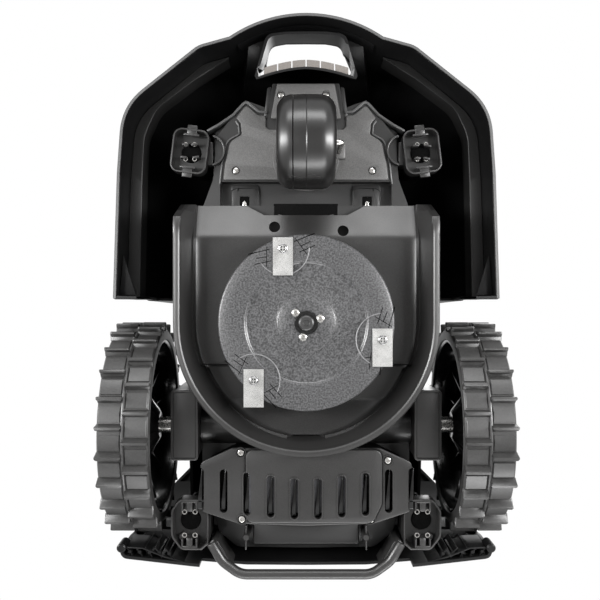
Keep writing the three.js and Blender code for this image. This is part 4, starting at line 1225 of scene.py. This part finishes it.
def vent_plate():
    """The vented belly plate with its raised battery door, rimmed slots and four screws."""
    low = low_of("vent_tray")
    z, front, rear = low[2], low[1], high_of("vent_tray")[1]
    half = soft_path([(0, front, 0), (72, front, 4), (103.2, 160, 7), (103.6, 207.5, 7), (66, 220, 7),
                      (0, rear, 0)], 5)
    plate = prism("vent_plate", both_sides(half), z, z + 3, 0.9, 3)
    door_low, door_high = low_of("battery_door"), high_of("battery_door")
    x0, y0, x1, y1 = door_low[0], door_low[1] - 3, door_high[0], door_high[1] - 0.5
    corners = soft_path([((x0 + x1) / 2, y0, 0), (x1, y0, 9), (x1, 200, 8), (x1 - 9, y1, 9), (x0, y1, 9),
                         (x0, y0, 9),
                         ((x0 + x1) / 2, y0, 0)], 6)[:-1]
    door = prism("battery_door", corners, door_low[2] - 1.4, z - 0.1, 1.3, 3)
    door_middle = Vector((7.5, 184))
    groove_edge = [tuple(Vector(p) + (Vector(p) - door_middle).normalized() * 1.1) for p in corners]
    groove = prism("groove", groove_edge, z - 1, z + 1.4)
    boolean(plate, boolean(groove, prism("groove_core", corners, z - 2, z + 3)))
    slots = []
    for k in range(10):
        x = (k - 4.5) * 23
        top = 165.5 + max(0, 1 - abs(x) / 92) * 10.5
        bottom = 208.5 + max(0, 1 - abs(x) / 92) * 6.5
        slots.append((x, (top + bottom) / 2, 7.6, bottom - top))
    for x, y, width, length in slots:
        for piece in (plate, door):
            boolean(piece, prism("slot", slot_outline(x, y, width, length, None, 6), 40, 80))
    on_chassis(plate, "guard", "vent_tray")
    on_chassis(door, "guard", "battery_door")
    rims, gussets = [], []
    for x, y, width, length in slots:
        on_door = x0 + 3 < x < x1 - 3
        face = door_low[2] - 1.4 if on_door else z
        outside = prism("slot_rim", slot_outline(x, y, width + 2.4, length + 2.4, None, 8), face - 0.9,
                        face + 6, 0.7, 3)
        rims.append(boolean(outside, prism("rim_hole",
                                           slot_outline(x, y, width - 0.2, length - 0.2, None, 8), 40, 80)))
        thin, thick = 0.9, 4.2
        front_y, rear_y = y - length / 2 + 1, y + length / 2 - 2
        wedge = [(x - thin / 2 + 1.6, front_y), (x + thin / 2 + 1.6, front_y), (x + 1.4, rear_y),
                 (x - thick + 0.6, rear_y)]
        gussets.append(prism("gusset", wedge, face + 4, face + 16, 0.6, 2))
    on_chassis(joined("slot_rims", rims), "guard")
    on_chassis(joined("slot_gussets", gussets), "gloss")
    walls = both_sides(soft_path([(0, 148.5, 0), (71, 148.5, 4), (98, 162, 6), (98, 205, 6), (64, 217, 6),
                                  (0, 219, 0)], 4))
    space = [(a * 0.965, 184 + (b - 184) * 0.94) for a, b in walls]
    tray = boolean(prism("tray_wall", walls, z + 3, high_of("vent_tray")[2]),
                   prism("tray_space", space, 40, 200))
    # The tray's walls take the near-black painted shade: painted shade inside the slots.
    on_chassis(tray, "shade_black")
    for x, y in ((-63.8, 150.4), (79.6, 158), (-62.6, 215.4), (62.9, 215.4)):
        seat = turned("screw_seat", [(3.9, 0.4), (4.1, -0.9), (5.2, -0.9), (5.6, 0.4)], (x, y, z), "Z", 40)
        on_chassis(seat, "guard")
        # A near-black disc in each screw seat: painted shade in the well.
        on_chassis(drum("screw_well_shade", 4.0, z - 0.15, z + 0.6, x, y, 32), "shade_black")
        screw_head("vent_screw", x, y, z - 0.1, 3.3, "chassis", "screw", False, 1.5)


def rear_cup(node, side):
    """The open rear cup: a flat floor between two clip crosses and a rolled outer wall."""
    low, high = low_of(node), high_of(node)
    x, y = side * 114.6, (low[1] + high[1]) / 2 + 1
    rim, floor = low[2], rim_floor(node)
    outline = soft_path([(x - side * 19, y - 24, 0), (x + side * 10, y - 25, 8), (x + side * 18, y - 14, 8),
                         (x + side * 18, y + 12, 12),
                         (x + side * 8, y + 25, 8), (x - side * 12, y + 25, 2), (x - side * 19, y + 19, 0)], 6)
    if side < 0:
        outline = outline[::-1]
    middle = Vector((x, y))
    outside = prism("rear_cup", outline, rim, floor + 3, 0.8, 3)
    arms = [Vector(p) - middle for p in outline]
    inner = [tuple(middle + arm * (1 - 2.0 / max(arm.length, 1))) for arm in arms]
    parts = [boolean(outside, prism("rear_cup_inside", inner, rim - 2, floor))]
    for end in (-1, 1):
        at = y + end * 18.5
        parts.append(block("post", (x - 3, at - 5, rim + 1), (x + 3, at + 6, floor), 1.0))
        parts.append(block("bar", (x - 7.5, at + end * 4 - 1.4, rim + 0.4),
                           (x + 7.5, at + end * 4 + 1.4, rim + 6), 0.6))
        for dx in (-7, 7):
            parts.append(block("cheek", (x + dx - 0.8, at - 4, rim + 0.4), (x + dx + 0.8, at + 5.5, floor),
                               0.3))
    arm_start, arm_end = sorted((side * 95, side * 99))
    parts.append(block("arm", (arm_start, y - 20, floor - 4), (arm_end, y + 16, 126), 1.2))
    parts.append(drum("peg", 3, rim + 8, floor, x + side * 8, y + 14, 24))
    on_chassis(joined(node + "_cup", parts), "guard", node)
    places = ((-5.2, -11.5), (5.2, -11.5), (-5.2, 11.5), (5.2, 11.5))
    cup_glints(node, x, y, rim + 5, (1.6, 2.5), 0.6, places)


def rear_handle():
    """A round bar that runs out, back and across behind the belly plate."""
    low, high = low_of("rear_handle"), high_of("rear_handle")
    r = 4.7
    z, back = low[2] + r + 0.4, high[1] - r
    half = soft_path([(92.5, 238.5, 0), (82, 256, 26), (64, back, 22), (0, back, 0)], 10)
    path = half + [(-x, y) for x, y in reversed(half[:-1])]
    verts, sides = [], 24
    for (x, y), out in zip(path, path_normals(path)):
        for k in range(sides):
            turn = math.tau * k / sides
            a, b = math.cos(turn), math.sin(turn)
            a = math.copysign(abs(a) ** 0.8, a)
            b = math.copysign(abs(b) ** 0.8, b)
            verts.append((x + out.x * a * r, y + out.y * a * r, z + b * r))
    ends = [tuple(range(sides)), tuple(range((len(path) - 1) * sides, len(path) * sides))]
    bar = raw("handle_bar", verts, grid_faces(len(path), sides, False, True) + ends)
    parts = [rounded(bar, 0.5, 2, 50)]
    for side in (1, -1):
        web = [(91, 236), (95, 240), (80, 262), (71, 263), (86, 238)]
        parts.append(prism("handle_web", mirrored_path(web, side), z + 3, z + 36, 1, 2))
        parts.append(ribbon("recess_rib", [(side * 59, 224), (side * 59.4, 248)], 1.4, 66, 96, 0.4))
        parts.append(turned("recess_boss", [(0, 0), (2.6, 0), (3.4, 1), (3.4, 30), (0, 30)],
                            (side * 59, 235, 63), "Z", 28))
    own(joined("handle", parts), "guard", "chassis", ("rear_handle",), 40)
    panel = block("recess_panel", (-53, 223.5, 78), (53, 246, 96), 2)
    half_back = soft_path([(0, 221, 0), (94, 221, 3), (88, 238, 8), (70, 253, 12), (0, 254, 0)], 5)
    back_wall = prism("recess_back", both_sides(half_back), 92, 97.5, 1)
    own(joined("handle_recess", [panel, back_wall]), "body", "chassis")


def gearbox(node):
    """A housing with rounded edges and a rolled lip."""
    low, high = low_of(node), high_of(node)
    x, y, _ = middle_of(node)
    width, length = high[0] - low[0], high[1] - low[1]
    case = block("gearbox", low, high, 2.4, 4)
    lip = prism("lip", slot_outline(x, y, width + 1.6, length + 1.6, 3, 4), low[2] - 0.8, low[2] + 8, 0.6, 3)
    space = prism("lip_hole", slot_outline(x, y, width - 2.2, length - 2.2, 2, 4), 0, 100)
    on_chassis(joined(node + "_case", [case, boolean(lip, space)]), "guard", node)


def motor_tube(node, side):
    """The tube round a motor, from the middle of the body out to its gearbox."""
    _, y, z = middle_of(node)
    r = (high_of(node)[1] - low_of(node)[1]) / 2
    start, end = sorted((side * 60, side * 106))
    tube = turned("motor", [(0, start), (r + 2, start), (r + 2, end), (0, end)], (0, y, z - 6), "X", 64)
    on_chassis(tube, "guard", node)


def shaft(node, body):
    """A wheel's axle with chamfered ends."""
    _, y, z = middle_of(node)
    low, high = low_of(node), high_of(node)
    start, end, r = low[0], high[0], (high[2] - low[2]) / 2
    profile = [(0, start), (r - 0.5, start), (r, start + 0.5), (r, end - 0.5), (r - 0.5, end), (0, end)]
    own(turned("shaft", profile, (0, y, z), "X", 48), "screw", body, (node,), 30)


def drive_units():
    for name, side in (("right", 1), ("left", -1)):
        gearbox("gearbox_" + name)
        motor_tube("drive_motor_" + name, side)
        shaft("axle_" + name, "wheel_" + name)


def rear_parts():
    vent_plate()
    rear_cup("cup_rear_right", 1)
    rear_cup("cup_rear_left", -1)
    rear_handle()
    drive_units()


# ---- drive wheels ----

LUGS = 24
LUG_HEIGHT = 8
TREAD_THICK = 10
WEBS = 12
PAD_HEIGHT = 1.3
FIN_FACES = [(0, 1, 2, 3), (7, 6, 5, 4), (0, 4, 5, 1), (1, 5, 6, 2), (2, 6, 7, 3), (3, 7, 4, 0)]


def lug(radius, base, turn, x0, x1, lean):
    """One paddle: a thin hooked blade across the row, with round ends and a thicker root."""
    width = x1 - x0
    profile = [(base - 1, -3.6), (base + 1.2, -2.6), (base + 3, -1.7), (radius - 1.2, -1.5 + lean),
               (radius, -0.7 + lean),
               (radius, 1.5 + lean), (radius - 1.0, 2.3 + lean), (radius - 2.6, 2.2 + lean),
               (base + 3, 1.8), (base + 1.2, 3.0),
               (base - 1, 4.2)]
    steps = [(0.0, 0.55), (0.02, 0.8), (0.06, 1.0), (0.94, 1.0), (0.98, 0.8), (1.0, 0.55)]
    rows = []
    for t, size in steps:
        row = []
        for r, across in profile:
            grown = base - 1 + (r - base + 1) * (0.9 + 0.1 * size)
            angle = turn + across * size / grown
            row.append((x0 + width * t, grown * math.sin(angle), -grown * math.cos(angle)))
        rows.append(row)
    return rows


def tread_row(verts, faces, radius, base, x0, x1, phase):
    """Adds one ring of lugs, with a raised pad between each two."""
    def add(rows):
        start, width = len(verts), len(rows[0])
        verts.extend(p for row in rows for p in row)
        faces.extend(tuple(start + i for i in face) for face in grid_faces(len(rows), width, False, True))
        faces.append(tuple(start + i for i in range(width)))
        faces.append(tuple(start + (len(rows) - 1) * width + i for i in range(width)))

    pitch = math.tau / LUGS
    pad = [(x0 + 1.4, base - 0.5), (x0 + 1.4, base + PAD_HEIGHT - 0.4), (x0 + 1.9, base + PAD_HEIGHT),
           (x1 - 1.9, base + PAD_HEIGHT), (x1 - 1.4, base + PAD_HEIGHT - 0.4), (x1 - 1.4, base - 0.5)]
    for k in range(LUGS):
        turn = phase + k * pitch
        add(lug(radius, base, turn, x0 - 0.6, x1 + 0.6, 0.9))
        pad_start, pad_end = turn + 0.075, turn + pitch - 0.045
        angles = [pad_start + (pad_end - pad_start) * i / 4 for i in range(5)]
        add([[(x, r * math.sin(angle), -r * math.cos(angle)) for x, r in pad] for angle in angles])


def radial_fin(name, place, near, far, r0, r1, near_half, far_half):
    """A flat-sided fin along a radius. Near and far are its faces, each as (root, tip) along the axle."""
    corners = []
    for (root, tip), half in ((near, near_half), (far, far_half)):
        corners += [(root, r0, -half), (tip, r1, -half), (tip, r1, half), (root, r0, half)]
    return raw(name, [place(*corner) for corner in corners], FIN_FACES)


def wheel_fins(side, y, z, inner, edge):
    """Thin webs on the inner face of the dish and broad spokes on its outer face."""
    parts = []
    back, spoke_near, spoke_far = inner + 25, inner + 27, inner + 34
    for k in range(WEBS):
        turn = math.tau * (k + 0.5) / WEBS
        ca, sa = math.cos(turn), math.sin(turn)

        def place(x, r, w):
            return (side * x, y + r * sa + w * ca, z - r * ca + w * sa)

        web, spoke = (0.9 * 0.7, 0.9), (3.2, 3.2 * 0.6)
        parts.append(radial_fin("web", place, (inner + 7, back - 4), (back, back), 17, 42, *web))
        parts.append(radial_fin("web", place, (back - 3, inner + 13), (back, back), 42, edge - 3.5, *web))
        parts.append(radial_fin("spoke", place, (spoke_near, spoke_near), (spoke_far, spoke_far + 4), 25,
                                edge - 3.5,
                                *spoke))
    return parts


def drive_wheel(side):
    """Rubber tread with two staggered rows of lugs, a dished rim and a hub cap."""
    name = "right" if side > 0 else "left"
    low, high = low_of("tread_" + name), high_of("tread_" + name)
    y, z = (low[1] + high[1]) / 2, (low[2] + high[2]) / 2
    radius = (high[2] - low[2]) / 2
    base = radius - LUG_HEIGHT
    inner, outer = (low[0], high[0]) if side > 0 else (-high[0], -low[0])
    middle = (inner + outer) / 2
    verts, faces = [], []
    tread_row(verts, faces, radius, base, inner, middle - 1, 0.0)
    tread_row(verts, faces, radius, base, middle + 1, outer, math.pi / LUGS)
    lugs = raw("lugs", [(side * a, y + b, z + c) for a, b, c in verts], faces)
    bore = base - TREAD_THICK
    profile = [(bore, inner), (bore + 0.6, inner - 0.2), (base - 1.5, inner), (base, inner + 1.2),
               (base, middle - 2.2),
               (base + 2.0, middle - 1), (base + 2.4, middle), (base + 2.0, middle + 1), (base, middle + 2.2),
               (base, outer - 1.2), (base - 1.5, outer), (bore, outer)]
    band = turned("band", [(r, side * x) for r, x in profile], (0, y, z), "X", 144)
    own(joined("tread_" + name + "_rubber", [lugs, band]), "tread", "wheel_" + name,
        ("tread_" + name,), 26)
    edge = bore - 0.3
    dish_profile = [(8.4, inner + 6), (13, inner + 5.2), (16, inner + 6.5), (22, inner + 11), (34, inner + 20),
                    (41, inner + 24.5), (44, inner + 25.6), (60, inner + 23.5), (74, inner + 24.2),
                    (79, inner + 21),
                    (edge - 4, inner + 13), (edge - 3, inner + 2.2), (edge - 2, inner + 1),
                    (edge - 0.4, inner + 1),
                    (edge, inner + 1.6), (edge, outer - 1.6), (edge - 0.4, outer - 1), (edge - 2, outer - 1),
                    (edge - 3, outer - 2.4), (edge - 4, inner + 30), (70, inner + 27.5), (46, inner + 28.5),
                    (26, inner + 29), (24, inner + 34.2), (8.4, inner + 34.2)]
    dish = turned("dish", [(r, side * x) for r, x in dish_profile], (0, y, z), "X", 128)
    parts = [dish, *wheel_fins(side, y, z, inner, edge)]
    own(joined("rim_" + name + "_dish", parts), "gloss", "wheel_" + name, ("rim_" + name,), 30)
    cap_low, cap_high = low_of("hub_cap_" + name), high_of("hub_cap_" + name)
    a, b = (cap_low[0], cap_high[0]) if side > 0 else (-cap_high[0], -cap_low[0])
    profile = [(0, a), (26, a), (26, a + 2.2), (25.2, a + 3.2), (22, a + 3.6), (19, b - 1.2), (17, b - 0.2),
               (12, b),
               (0, b)]
    cap = turned("cap", [(r, side * x) for r, x in profile], (0, y, z), "X", 72)
    own(cap, "gloss", "wheel_" + name, ("hub_cap_" + name,), 30)


def drive_wheels():
    drive_wheel(1)
    drive_wheel(-1)


def dress_cad_nodes():
    """Gives each CAD node its slot's material and shades it softly across shallow edges."""
    slots = {row["node"]: row["material_slot"] for row in frame["record"]["subparts"]}
    for name, thing in NODES.items():
        thing.data.materials.clear()
        thing.data.materials.append(MATERIALS[slots[name]])
        soft = thing.modifiers.new("edges", "BEVEL")
        soft.width = 0.0006
        soft.segments = 2
        soft.limit_method = "ANGLE"
        soft.angle_limit = math.radians(40)
        soft.harden_normals = True


dress_cad_nodes()
set_camera()
set_lights()
set_world()
set_floor()
set_card()
cutter_guard()
cutter_disc()
cover()
front_parts()
rear_parts()
drive_wheels()
bpy.context.scene.view_settings.view_transform = "Standard"
